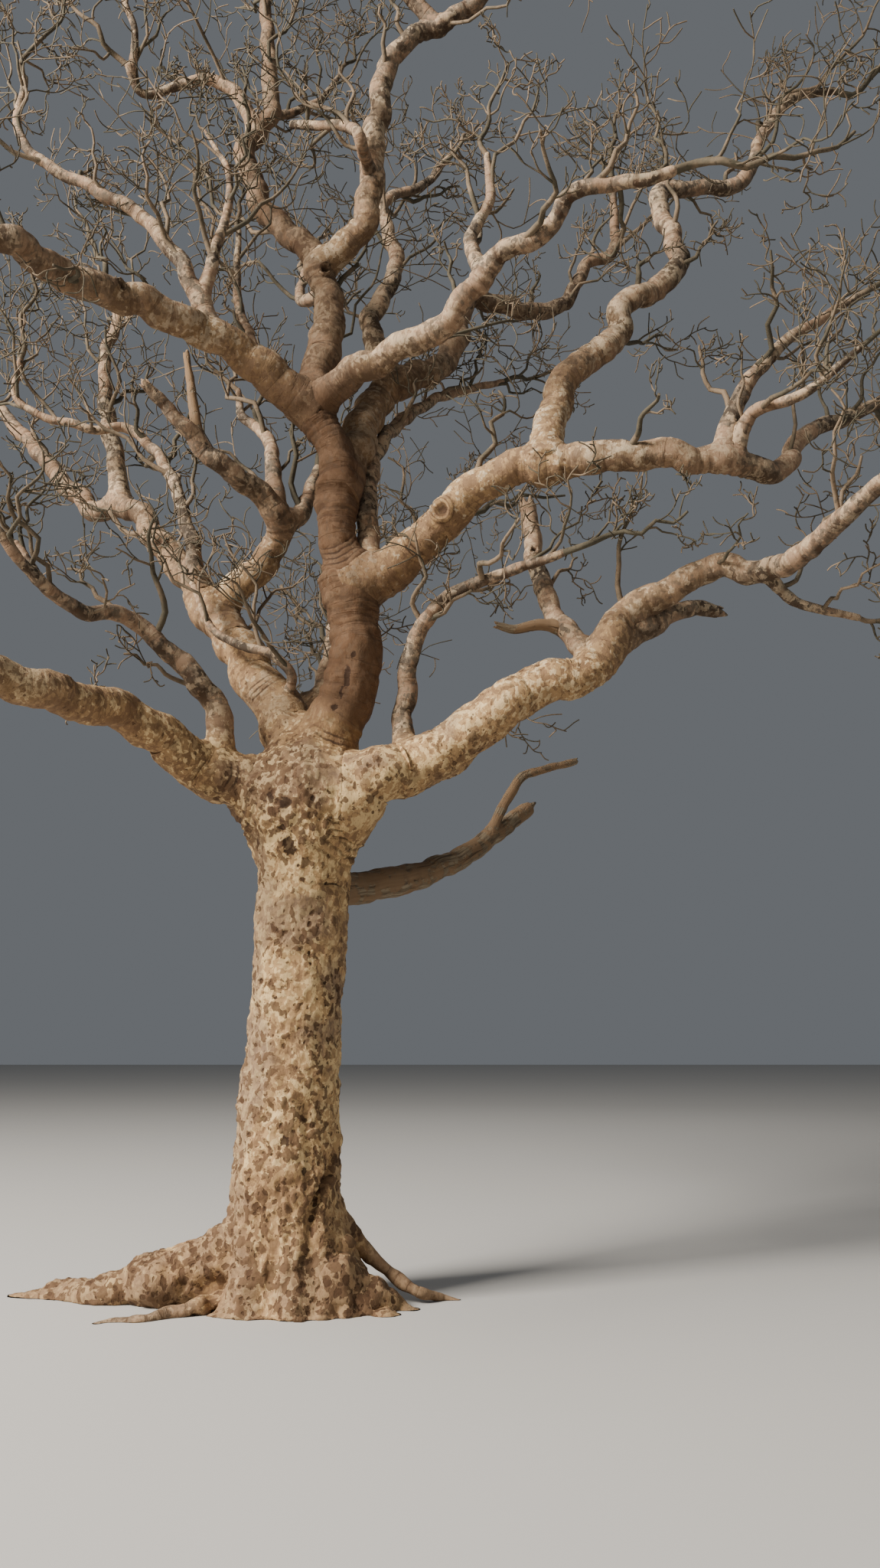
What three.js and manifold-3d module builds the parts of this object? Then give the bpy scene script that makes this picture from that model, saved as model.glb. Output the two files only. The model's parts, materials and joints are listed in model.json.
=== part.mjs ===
import * as THREE from "three";
import * as BufferGeometryUtils from "three/addons/utils/BufferGeometryUtils.js";
import Module from "manifold-3d";

const wasm = await Module();
wasm.setup();

// A bare manketti tree in the dry season, in millimetres. The origin is the middle of the flat cut
// under the trunk at ground level. +X is right and +Y away, seen from the tree's open front.
//
// A limb is a row of legs. Each leg is a length, a heading in degrees from +X towards +Y, and a
// rise in degrees above level. A smooth curve runs through the ends of the legs.

// Clearances between pieces that meet
const SEAT_GAP = 0.4;
const TWIG_GAP = 4;
const FUSE_TOLERANCE = 0.6;

// Trunk
const TRUNK = {
  height: 3500,
  shaft: 277,
  butt: 90,
  buttFade: 1100,
  forkStart: 2500,
  forkSwell: 130,
  domeStart: 3100,
  rows: 18,
  sides: 24,
  legs: [[900, 180, 87], [950, 0, 87], [1650, 18, 89]],
};

// Roots that show above the ground: where each leaves the trunk, and how far out it dies away
const ROOT_FLARES = [
  { heading: 328, width: 28, swell: 120 },
  { heading: 272, width: 22, swell: 40 },
  { heading: 218, width: 24, swell: 110 },
  { heading: 172, width: 22, swell: 130 },
  { heading: 95, width: 26, swell: 110 },
  { heading: 30, width: 26, swell: 80 },
];
const FLARE_FADE = 200;
const SURFACE_ROOTS = [
  { heading: 4, bend: 4, start: 700, out: 1020, girth: 125 },
  { heading: 350, bend: 0, start: 430, out: 740, girth: 360 },
  { heading: 334, bend: 6, start: 400, out: 650, girth: 420 },
  { heading: 179, bend: -8, start: 310, out: 1750, girth: 440 },
  { heading: 203, bend: 4, start: 120, out: 1150, girth: 150 },
  { heading: 92, bend: 12, start: 380, out: 1100, girth: 240 },
];

// Boughs: where each leaves its parent as a share of the parent's length, its girth at the base and
// at the tip, the swelling of its collar, its legs, and how far the twigs at its tip reach. A bough
// that thins at a heavy fork names the share of its length there and the share of girth it loses.
const BOUGHS = [
  {
    name: "centre_stem", from: "trunk", at: 0.9, girth: [375, 265], collar: 0.12, twigs: 0,
    thins: [0.52, 0.15],
    legs: [[900, 352, 70], [550, 180, 86], [400, 180, 77], [550, 180, 88], [450, 180, 66]],
  },
  {
    name: "right_low", from: "trunk", at: 0.85, girth: [360, 80], collar: 0.5, twigs: 1500,
    thins: [0.44, 0.15],
    legs: [
      [300, 340, 10], [200, 335, 55], [500, 0, 20], [700, 350, 35], [450, 5, 20],
      [500, 20, 55], [250, 0, 30], [450, 345, 25], [350, 325, -20], [950, 295, 10],
      [600, 315, 35],
    ],
  },
  {
    name: "left_low", from: "trunk", at: 0.89, girth: [285, 80], collar: 0.75, twigs: 1500,
    legs: [
      [550, 195, 10], [700, 220, 25], [1000, 240, 0], [700, 215, 15], [700, 230, 40],
      [600, 205, 25], [650, 235, 35],
    ],
  },
  {
    name: "left_rear", from: "trunk", at: 0.9, girth: [340, 62], collar: 0.45, twigs: 1500,
    thins: [0.27, 0.14],
    legs: [
      [450, 130, 65], [1950, 140, 50], [1050, 145, 45], [350, 140, 5], [350, 150, 40],
      [1550, 150, 45], [500, 135, 25], [450, 165, 50],
    ],
  },
  {
    name: "crown_stem", from: "centre_stem", at: 1, girth: [235, 95], collar: 0.1, twigs: 1300,
    legs: [
      [850, 65, 75], [500, 140, 75], [650, 160, 50], [500, 150, 65], [250, 120, 75],
      [450, 40, 65], [1250, 115, 80],
    ],
  },
  {
    name: "upper_left", from: "centre_stem", at: 0.98, girth: [240, 80], collar: 0.2, twigs: 1500,
    legs: [
      [850, 210, 25], [1000, 220, 0], [500, 240, -5], [700, 200, 25], [600, 230, 45],
      [450, 205, 20], [450, 235, 45],
    ],
  },
  {
    name: "upper_right", from: "centre_stem", at: 0.99, girth: [205, 62], collar: 0.15,
    twigs: 1250,
    legs: [
      [500, 325, 20], [600, 325, 5], [600, 325, 35], [250, 340, 15], [300, 325, 40],
      [150, 345, 20], [300, 340, -10], [200, 345, 10],
    ],
  },
  {
    name: "right_arm", from: "centre_stem", at: 0.51, girth: [275, 62], collar: 0.25, twigs: 1300,
    legs: [
      [350, 345, 20], [850, 335, 35], [1300, 345, 0], [600, 20, 0], [500, 40, 45],
      [550, 20, 30], [450, 10, 30],
    ],
  },
  {
    name: "rear_diagonal", from: "centre_stem", at: 0.74, girth: [275, 72], collar: 0.02,
    twigs: 1200,
    thins: [0.3, 0.1],
    legs: [
      [1250, 65, 60], [900, 45, 40], [800, 50, 65], [300, 30, 0], [650, 30, 20],
      [550, 20, 60], [250, 15, 30], [750, 65, 80],
    ],
  },
  {
    name: "arm_riser", from: "right_arm", at: 0.34, girth: [205, 62], collar: 0.2, twigs: 1300,
    legs: [
      [450, 70, 70], [500, 35, 60], [450, 25, 45], [250, 40, 70], [700, 25, 45],
      [850, 100, 70], [750, 15, 20], [600, 25, 65], [550, 20, 50], [350, 15, 20],
    ],
  },
  {
    name: "arm_fork", from: "right_arm", at: 0.58, girth: [118, 48], collar: 0.2, twigs: 1000,
    legs: [[500, 20, 70], [600, 15, 50], [600, 5, 35]],
  },
  {
    name: "rear_riser", from: "right_arm", at: 0.03, girth: [150, 48], collar: 0.2, twigs: 1100,
    legs: [[1150, 90, 70], [1250, 60, 45], [850, 40, 30]],
  },
  {
    name: "low_riser", from: "right_low", at: 0.42, girth: [140, 118], collar: 0.15, twigs: 0,
    legs: [[800, 130, 55], [700, 115, 75]],
  },
  {
    name: "low_under", from: "right_low", at: 0.44, girth: [172, 88], collar: 0.1, twigs: 0,
    legs: [[850, 25, 30], [200, 20, 0]],
  },
  {
    name: "low_shoot", from: "right_low", at: 0.15, girth: [150, 50], collar: 0.2, twigs: 850,
    legs: [[500, 95, 70], [650, 315, 65], [950, 335, 15]],
  },
  {
    name: "left_middle", from: "left_low", at: 0.12, girth: [175, 42], collar: 0.2, twigs: 1000,
    thins: [0.3, 0.12],
    legs: [
      [450, 160, 86], [700, 205, 45], [150, 219, 17], [350, 237, -10], [500, 237, 20],
      [500, 215, 50],
    ],
  },
  {
    name: "left_rear_riser", from: "left_rear", at: 0.52, girth: [150, 62], collar: 0.15,
    twigs: 1250,
    legs: [[1400, 140, 75], [650, 85, 70], [500, 140, 65]],
  },
  {
    name: "inner_left", from: "left_rear", at: 0.28, girth: [245, 72], collar: 0.1, twigs: 0,
    legs: [[700, 340, 42], [200, 278, 56], [550, 218, 28], [700, 216, 36]],
  },
  {
    name: "inner_riser", from: "inner_left", at: 0.42, girth: [140, 46], collar: 0.15, twigs: 800,
    legs: [[850, 115, 65], [400, 140, 45], [350, 115, 60]],
  },
  {
    name: "grey_stub", from: "inner_left", at: 0.77, girth: [84, 44], collar: 0.1, twigs: 0,
    legs: [[700, 165, 80]],
  },
  {
    name: "thin_riser", from: "left_rear", at: 0.32, girth: [112, 48], collar: 0.2, twigs: 900,
    legs: [
      [500, 180, 80], [650, 150, 65], [600, 150, 45], [300, 200, -10], [600, 190, 20],
      [300, 295, 65],
    ],
  },
  {
    name: "nest_riser", from: "upper_left", at: 0.17, girth: [122, 44], collar: 0.15, twigs: 1000,
    legs: [[950, 185, 60], [1150, 180, 35], [550, 130, 85]],
  },
  {
    name: "thin_pair", from: "upper_left", at: 0.1, girth: [84, 40], collar: 0.15, twigs: 750,
    legs: [[800, 130, 65], [600, 105, 80]],
  },
  {
    name: "crown_lead", from: "crown_stem", at: 0.29, girth: [192, 75], collar: 0.15, twigs: 1300,
    legs: [
      [400, 335, 35], [1450, 350, 80], [800, 355, 35], [600, 300, 35], [550, 270, 25],
      [450, 290, 50],
    ],
  },
  {
    name: "crown_lead_left", from: "crown_lead", at: 0.53, girth: [115, 60], collar: 0.15,
    twigs: 1000,
    legs: [[600, 200, 45], [500, 235, 60], [450, 255, 30]],
  },
  {
    name: "crown_loop", from: "crown_stem", at: 0.66, girth: [108, 52], collar: 0.15, twigs: 950,
    legs: [[200, 215, 65], [350, 190, 45], [600, 185, -15], [200, 230, 50]],
  },
  {
    name: "s_bend", from: "rear_diagonal", at: 0.26, girth: [175, 48], collar: 0.15, twigs: 950,
    legs: [[700, 140, 70], [650, 45, 65], [700, 130, 75], [450, 25, 40], [450, 30, 55]],
  },
  {
    name: "right_crook", from: "upper_right", at: 0.53, girth: [98, 44], collar: 0.15, twigs: 750,
    legs: [[350, 130, 70], [400, 35, 65], [350, 130, 85]],
  },
  {
    name: "low_dead", from: "trunk", at: 0.7, girth: [230, 112], collar: 0.1, twigs: 0,
    legs: [[1350, 45, 15], [1050, 45, 30]],
  },
  {
    name: "back_low", from: "trunk", at: 0.95, girth: [265, 70], collar: 0.5, twigs: 1500,
    legs: [
      [700, 85, 22], [700, 108, 40], [800, 92, 12], [700, 75, 42], [700, 105, 35],
    ],
  },
  {
    name: "back_high", from: "crown_stem", at: 0.1, girth: [165, 62], collar: 0.15, twigs: 1300,
    legs: [[700, 98, 40], [600, 85, 62], [700, 118, 30], [600, 92, 55]],
  },
  {
    name: "back_right", from: "back_low", at: 0.3, girth: [160, 60], collar: 0.15, twigs: 1400,
    legs: [[600, 85, 55], [700, 75, 60], [700, 40, 40], [700, 55, 50], [500, 30, 35]],
  },
];

// Bough surfaces: ring spacing, sides, and how uneven the rings are
const RING_STEP = 350;
const THICK_BOUGH = 150;
const THICK_SIDES = 8;
const THIN_SIDES = 6;
const TAPER_POWER = 0.85;
const COLLAR_FADE = 500;
const FORK_SPAN = 0.08;
const KNOBBLE = 0.09;

// Twigs: for each order of branching, a twig's joints and the first of them that bears finer twigs,
// the turn at a joint, the pull upwards, and its length and girth as shares of what bears it
const TWIG_ORDERS = [
  { joints: 4, bears: 1, kink: 0.3, lift: 0.1, length: 0.95, girth: 0.9 },
  { joints: 3, bears: 2, kink: 0.42, lift: 0.12, length: 0.62, girth: 0.62 },
  { joints: 2, bears: 1, kink: 0.5, lift: 0.14, length: 0.55, girth: 0.65 },
];
const TWIG_SIDES = 3;
const TWIG_TIP = 0.4;
const TWIG_LEAST = 5;
const TWIG_ROOT = 0.7;
const TWIG_SPREAD = [0.75, 1.2];
const GOLDEN_TURN = 2.39996;
const SPACE_AHEAD = 0.62;

// Colours
const BARK_COLOUR = 0x9c8468;
const PALE_BARK_COLOUR = 0xb39c7c;
const DEAD_WOOD_COLOUR = 0x8b8880;
const TWIG_COLOUR = 0x85806f;
const DEAD_BOUGHS = ["low_dead", "grey_stub"];

const material = (colour, roughness) =>
  new THREE.MeshStandardMaterial({ color: colour, roughness, metalness: 0 });
const barkMaterial = material(BARK_COLOUR, 0.9);
const paleBarkMaterial = material(PALE_BARK_COLOUR, 0.88);
const deadWoodMaterial = material(DEAD_WOOD_COLOUR, 0.92);
const twigMaterial = material(TWIG_COLOUR, 0.85);

// A number from 0 to 1 that is always the same for the same key and place
function chance(key, place) {
  const wave = Math.sin(key * 12.9898 + place * 78.233) * 43758.5453;
  return wave - Math.floor(wave);
}

// The unit vector at a heading and a rise, in degrees
function bearing(heading, rise) {
  const turn = THREE.MathUtils.degToRad(heading);
  const lift = THREE.MathUtils.degToRad(rise);
  const level = Math.cos(lift);
  return new THREE.Vector3(level * Math.cos(turn), level * Math.sin(turn), Math.sin(lift));
}

// The smooth curve through the ends of a limb's legs
function limbCurve(start, legs) {
  const corners = [start.clone()];
  for (const [length, heading, rise] of legs) {
    corners.push(corners.at(-1).clone().addScaledVector(bearing(heading, rise), length));
  }
  const curve = new THREE.CatmullRomCurve3(corners, false, "centripetal");
  curve.arcLengthDivisions = 12 * legs.length;
  return curve;
}

// The direction of a line of points at one of them
function directionAt(points, index) {
  const before = points[Math.max(index - 1, 0)];
  const after = points[Math.min(index + 1, points.length - 1)];
  return after.clone().sub(before).normalize();
}

// A unit vector across a direction
function across(direction) {
  const guide = Math.abs(direction.z) > 0.9
    ? new THREE.Vector3(1, 0, 0)
    : new THREE.Vector3(0, 0, 1);
  return direction.clone().cross(guide).normalize();
}

// Turns rings of points into a closed solid: each ring joins the next, and both ends are closed
function loftRings(rings) {
  const sides = rings[0].length;
  const positions = [];
  const faces = [];
  for (const ring of rings) {
    for (const point of ring) {
      positions.push(point.x, point.y, point.z);
    }
  }
  const cap = (ring, reversed) => {
    const first = ring * sides;
    for (let side = 1; side + 1 < sides; side++) {
      const here = first + side;
      faces.push(...(reversed ? [first, here + 1, here] : [first, here, here + 1]));
    }
  };
  for (let ring = 0; ring + 1 < rings.length; ring++) {
    for (let side = 0; side < sides; side++) {
      const here = ring * sides + side;
      const next = ring * sides + ((side + 1) % sides);
      faces.push(here, next, next + sides, here, next + sides, here + sides);
    }
  }
  cap(0, true);
  cap(rings.length - 1, false);
  const geometry = new THREE.BufferGeometry();
  geometry.setAttribute("position", new THREE.Float32BufferAttribute(positions, 3));
  geometry.setIndex(faces);
  return geometry;
}

// Rings round a line of points, turned as little as possible from one to the next
function ringsAlong(points, radii, sides, unevenness, key) {
  let side = across(directionAt(points, 0));
  return points.map((centre, ring) => {
    const direction = directionAt(points, ring);
    side = side.addScaledVector(direction, -side.dot(direction)).normalize();
    const other = direction.clone().cross(side);
    return Array.from({ length: sides }, (_, place) => {
      const angle = (2 * Math.PI * place) / sides;
      const uneven = 1 + unevenness * (chance(key, ring * sides + place) - 0.5);
      const radius = radii[ring] * uneven;
      return centre.clone()
        .addScaledVector(side, radius * Math.cos(angle))
        .addScaledVector(other, radius * Math.sin(angle));
    });
  });
}

function toSolid(geometry) {
  const merged = geometry.clone();
  merged.deleteAttribute("normal");
  merged.deleteAttribute("uv");
  const welded = BufferGeometryUtils.mergeVertices(merged);
  return new wasm.Manifold(new wasm.Mesh({
    numProp: 3,
    vertProperties: new Float32Array(welded.attributes.position.array),
    triVerts: new Uint32Array(welded.index.array),
  }));
}

function toGeometry(solid) {
  const mesh = solid.getMesh();
  const geometry = new THREE.BufferGeometry();
  geometry.setAttribute("position", new THREE.BufferAttribute(mesh.vertProperties, 3));
  geometry.setIndex(new THREE.BufferAttribute(mesh.triVerts, 1));
  geometry.computeVertexNormals();
  return geometry;
}

// The largest body of a solid that a cut may have left in several
function largestBody(solid) {
  return solid.decompose().reduce((most, body) => (body.volume() > most.volume() ? body : most));
}

const smoothStep = (value) => THREE.MathUtils.smoothstep(value, 0, 1);

// The trunk's radius at a height and a heading: a straight shaft, a butt that widens into root
// flares, a swelling under the fork, and a dome between the boughs
function trunkRadius(height, heading) {
  const butt = TRUNK.butt * Math.exp(-height / TRUNK.buttFade);
  const forkSpan = TRUNK.domeStart - TRUNK.forkStart;
  const fork = TRUNK.forkSwell * smoothStep((height - TRUNK.forkStart) / forkSpan);
  let flare = 0;
  for (const root of ROOT_FLARES) {
    const off = ((heading - root.heading + 540) % 360) - 180;
    flare += root.swell * Math.exp(-((off / root.width) ** 2));
  }
  const radius = TRUNK.shaft + butt + fork + flare * Math.exp(-height / FLARE_FADE);
  const dome = Math.max(0, (height - TRUNK.domeStart) / (TRUNK.height - TRUNK.domeStart));
  return radius * Math.sqrt(Math.max(0.01, 1 - dome * dome));
}

const trunkCurve = limbCurve(new THREE.Vector3(0, 0, 0), TRUNK.legs);

function trunkBody(grow) {
  const rings = [];
  for (let row = 0; row <= TRUNK.rows; row++) {
    const height = (TRUNK.height * (1 - Math.cos((Math.PI * row) / TRUNK.rows))) / 2;
    const centre = trunkCurve.getPointAt(height / TRUNK.height);
    rings.push(Array.from({ length: TRUNK.sides }, (_, side) => {
      const heading = (360 * side) / TRUNK.sides;
      const radius = trunkRadius(height, heading) + grow;
      return new THREE.Vector3(centre.x, centre.y, height + (row === TRUNK.rows ? grow : 0))
        .addScaledVector(bearing(heading, 0), radius);
    }));
  }
  return toSolid(loftRings(rings));
}

// A root that runs down the butt and out along the ground, half sunk in it
function surfaceRoot(root, grow) {
  const corner = (share, height) => {
    return bearing(root.heading + root.bend * share, 0)
      .multiplyScalar(share * root.out)
      .setZ(height);
  };
  const curve = new THREE.CatmullRomCurve3([
    corner(0.12, root.start),
    corner(0.38, 0.52 * root.start),
    corner(0.68, 0.15 * root.start),
    corner(1, -10),
  ], false, "centripetal");
  const points = curve.getSpacedPoints(7);
  const radii = points.map((_, step) => (root.girth / 2) * (1 - 0.8 * (step / 7)) + grow);
  return toSolid(loftRings(ringsAlong(points, radii, 8, 0, 0)));
}

function makeTrunk(grow) {
  const ground = new THREE.BoxGeometry(6000, 6000, 1000);
  ground.translate(0, 0, -500);
  let trunk = trunkBody(grow);
  for (const root of SURFACE_ROOTS) {
    trunk = trunk.add(surfaceRoot(root, grow));
  }
  return largestBody(trunk.subtract(toSolid(ground)));
}

// A bough's radius at a distance from its base. Some boughs go on thinner past a heavy fork.
function boughRadius(bough, distance, length) {
  const [base, tip] = bough.girth;
  const girth = tip + (base - tip) * Math.max(0, 1 - distance / length) ** TAPER_POWER;
  const collar = 1 + bough.collar * Math.exp(-distance / COLLAR_FADE);
  const [fork, loss] = bough.thins ?? [0, 0];
  const past = THREE.MathUtils.smoothstep(distance / length, fork, fork + FORK_SPAN);
  return (girth / 2) * collar * (1 - loss * past);
}

// A bough's curve, and the points and radii of its rings
function layOut(bough, start) {
  const curve = limbCurve(start, bough.legs);
  const length = curve.getLength();
  const steps = Math.max(4, Math.round(length / RING_STEP));
  const points = curve.getSpacedPoints(steps);
  const radii = points.map((_, step) => boughRadius(bough, (length * step) / steps, length));
  return { ...bough, curve, length, points, radii };
}

function boughBody(limb, grow, key) {
  const sides = limb.girth[0] >= THICK_BOUGH ? THICK_SIDES : THIN_SIDES;
  const points = limb.points.map((point) => point.clone());
  points.at(-1).addScaledVector(directionAt(points, points.length - 1), grow);
  points[0].addScaledVector(directionAt(points, 0), -grow);
  const radii = limb.radii.map((radius) => radius + grow);
  return toSolid(loftRings(ringsAlong(points, radii, sides, KNOBBLE, key)));
}

// Every stretch of bough and twig that is already in place
const placed = [];

function remember(points, radii, owner) {
  for (let step = 0; step + 1 < points.length; step++) {
    const radius = Math.max(radii[step], radii[step + 1]);
    placed.push({ line: new THREE.Line3(points[step], points[step + 1]), radius, owner });
  }
}

// The least distance between two straight stretches, found on points of the first
function stretchDistance(first, second) {
  let least = Infinity;
  for (let share = 0; share <= 1; share += 0.25) {
    const point = first.at(share, new THREE.Vector3());
    const near = second.closestPointToPoint(point, true, new THREE.Vector3());
    least = Math.min(least, point.distanceTo(near));
  }
  return least;
}

// Whether a new twig is inside its mass's space and clear of everything else but its own mass, and
// for the mass's stem the last stretch of bough, which carries it
function isClear(points, radius, order, mass) {
  for (let step = 1; step < points.length; step++) {
    if (points[step].distanceTo(mass.space.center) > mass.space.radius) {
      return false;
    }
    const line = new THREE.Line3(points[step - 1], points[step]);
    for (const other of placed) {
      const own = other.owner === mass.owner || (order === 0 && other === mass.foot);
      const allowed = radius + other.radius + TWIG_GAP;
      if (!own && stretchDistance(line, other.line) < allowed) {
        return false;
      }
    }
  }
  return true;
}

// The joints of one twig: it sets off straight, then at each joint it turns a little, by chance, and
// is drawn upwards
function twigJoints(start, heading, length, order, key) {
  const { joints, kink, lift } = TWIG_ORDERS[order];
  const points = [start.clone()];
  const ahead = heading.clone();
  for (let joint = 0; joint < joints; joint++) {
    points.push(points.at(-1).clone().addScaledVector(ahead, length / joints));
    const turn = (place) => kink * 2 * (chance(key, 3 * joint + place) - 0.5);
    ahead.add(new THREE.Vector3(turn(0), turn(1), turn(2) + lift)).normalize();
  }
  return points;
}

// Grows a twig and the finer twigs on it, and adds their bodies to a list
function growTwig(start, heading, length, radius, order, key, mass, bodies) {
  const points = twigJoints(start, heading, length, order, key);
  const last = points.length - 1;
  const radii = points.map((_, joint) => {
    return Math.max(TWIG_LEAST, radius * (1 - (1 - TWIG_TIP) * (joint / last)));
  });
  if (!isClear(points, radius, order, mass)) {
    return;
  }
  bodies.push(toSolid(loftRings(ringsAlong(points, radii, TWIG_SIDES, 0, key))));
  remember(points, radii, mass.owner);
  if (order + 1 === TWIG_ORDERS.length) {
    return;
  }
  const finer = TWIG_ORDERS[order + 1];
  const [least, most] = TWIG_SPREAD;
  for (let joint = TWIG_ORDERS[order].bears; joint <= last; joint++) {
    const childKey = key * 6 + joint;
    const root = points[joint - 1].clone().lerp(points[joint], TWIG_ROOT);
    const direction = points[joint].clone().sub(points[joint - 1]).normalize();
    const spread = least + (most - least) * chance(childKey, 91);
    const roll = GOLDEN_TURN * joint + 6.28 * chance(key, 92);
    const side = across(direction).applyAxisAngle(direction, roll);
    const childHeading = direction.clone()
      .multiplyScalar(Math.cos(spread))
      .addScaledVector(side, Math.sin(spread));
    const shrink = 1 - 0.45 * (joint / last);
    const childLength = length * finer.length * shrink * (0.8 + 0.4 * chance(childKey, 93));
    const childRadius = radii[joint] * finer.girth;
    growTwig(root, childHeading, childLength, childRadius, order + 1, childKey,
      mass, bodies);
  }
}

// The mass of bare twigs on a bough's tip, grown on from it with a hair of clearance
function makeMass(limb, key) {
  const direction = directionAt(limb.points, limb.points.length - 1);
  const tip = limb.points.at(-1).clone().addScaledVector(direction, SEAT_GAP);
  const reach = limb.twigs;
  const middle = tip.clone().addScaledVector(direction, SPACE_AHEAD * reach);
  middle.z += 0.12 * reach;
  const mass = {
    space: new THREE.Sphere(middle, reach),
    owner: `twigs_${limb.name}`,
    foot: placed.findLast((stretch) => stretch.owner === limb.name),
  };
  const bodies = [];
  const stem = TWIG_ORDERS[0];
  const radius = limb.radii.at(-1) * stem.girth;
  growTwig(tip, direction, reach * stem.length, radius, 0, key, mass, bodies);
  return largestBody(wasm.Manifold.union(bodies)).asOriginal().simplify(FUSE_TOLERANCE);
}

// The tree
const tree = new THREE.Group();
tree.name = "manketti_tree";

function addPiece(name, solid, finish) {
  const mesh = new THREE.Mesh(toGeometry(solid), finish);
  mesh.name = name;
  tree.add(mesh);
}

const trunkPoints = trunkCurve.getSpacedPoints(10);
const trunkRadii = trunkPoints.map((point) => trunkRadius(point.z, 0));
const limbs = { trunk: { curve: trunkCurve } };
const cutters = [makeTrunk(SEAT_GAP)];
addPiece("trunk", makeTrunk(0), barkMaterial);
remember(trunkPoints, trunkRadii, "trunk");

BOUGHS.forEach((bough, index) => {
  const limb = layOut(bough, limbs[bough.from].curve.getPointAt(bough.at));
  limbs[bough.name] = limb;
  let body = boughBody(limb, 0, index);
  for (const cutter of cutters) {
    body = body.subtract(cutter);
  }
  cutters.push(boughBody(limb, SEAT_GAP, index));
  remember(limb.points, limb.radii, bough.name);
  const pale = bough.girth[0] >= THICK_BOUGH ? paleBarkMaterial : barkMaterial;
  addPiece(bough.name, largestBody(body), DEAD_BOUGHS.includes(bough.name) ? deadWoodMaterial : pale);
});

BOUGHS.filter((bough) => bough.twigs > 0).forEach((bough, index) => {
  addPiece(`twigs_${bough.name}`, makeMass(limbs[bough.name], 101 + 13 * index), twigMaterial);
});

export default tree;
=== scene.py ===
import json
import logging
import math
from dataclasses import dataclass
from enum import Enum, IntEnum
from functools import cached_property
from itertools import count

import bpy
import numpy as np
from bpy.types import Material, Mesh, Object
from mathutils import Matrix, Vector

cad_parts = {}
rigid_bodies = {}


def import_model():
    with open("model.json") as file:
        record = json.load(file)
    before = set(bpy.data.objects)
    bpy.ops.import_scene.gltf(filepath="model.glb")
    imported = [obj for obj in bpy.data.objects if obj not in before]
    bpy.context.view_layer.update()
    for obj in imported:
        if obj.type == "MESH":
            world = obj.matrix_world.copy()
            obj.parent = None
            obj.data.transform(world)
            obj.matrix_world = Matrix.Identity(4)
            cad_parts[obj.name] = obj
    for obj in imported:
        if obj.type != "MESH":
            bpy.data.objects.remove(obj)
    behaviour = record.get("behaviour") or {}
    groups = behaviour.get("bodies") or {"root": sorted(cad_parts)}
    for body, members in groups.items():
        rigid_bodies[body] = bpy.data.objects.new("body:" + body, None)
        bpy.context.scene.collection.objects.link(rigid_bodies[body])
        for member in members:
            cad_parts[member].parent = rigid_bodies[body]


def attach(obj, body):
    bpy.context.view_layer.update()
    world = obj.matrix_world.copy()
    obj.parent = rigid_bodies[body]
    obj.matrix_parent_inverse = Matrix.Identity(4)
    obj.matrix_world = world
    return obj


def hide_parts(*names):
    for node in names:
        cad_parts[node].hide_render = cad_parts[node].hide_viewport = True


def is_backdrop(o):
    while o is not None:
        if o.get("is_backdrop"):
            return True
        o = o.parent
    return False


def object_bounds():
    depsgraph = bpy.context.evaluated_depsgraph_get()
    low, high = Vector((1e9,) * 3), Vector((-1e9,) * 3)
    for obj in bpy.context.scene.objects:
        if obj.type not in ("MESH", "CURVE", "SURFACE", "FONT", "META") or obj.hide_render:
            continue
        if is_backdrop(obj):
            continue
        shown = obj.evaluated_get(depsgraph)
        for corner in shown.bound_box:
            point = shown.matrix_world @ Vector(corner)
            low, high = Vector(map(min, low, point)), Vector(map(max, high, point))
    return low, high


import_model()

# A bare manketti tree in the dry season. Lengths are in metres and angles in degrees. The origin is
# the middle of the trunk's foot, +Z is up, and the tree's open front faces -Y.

LOG = logging.getLogger("manketti")
BODY = "root"

Array = np.ndarray
Span = tuple[float, float]
Place = Leg = Colour = tuple[float, float, float]


# Sizes

@dataclass(frozen=True)
class Limb:
    """One limb as planned.

    Attributes:
        name: The limb's name, which is also its node's.
        parent: The limb that it leaves.
        at: Where it leaves, as a share of the parent's length.
        girth: Its thickness at the base and at the tip.
        collar: The swelling of its base, as a share of its thickness.
        reach: How far the twigs at its tip reach, or nothing where it is broken off.
        legs: A length, a heading from +X towards +Y and a rise above level for each leg.
        thins: The share of its length where it thins at a heavy fork, and by how much.
    """

    name: str
    parent: str
    at: float
    girth: Span
    collar: float
    reach: float
    legs: tuple[Leg, ...]
    thins: Span = (0.0, 0.0)


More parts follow.
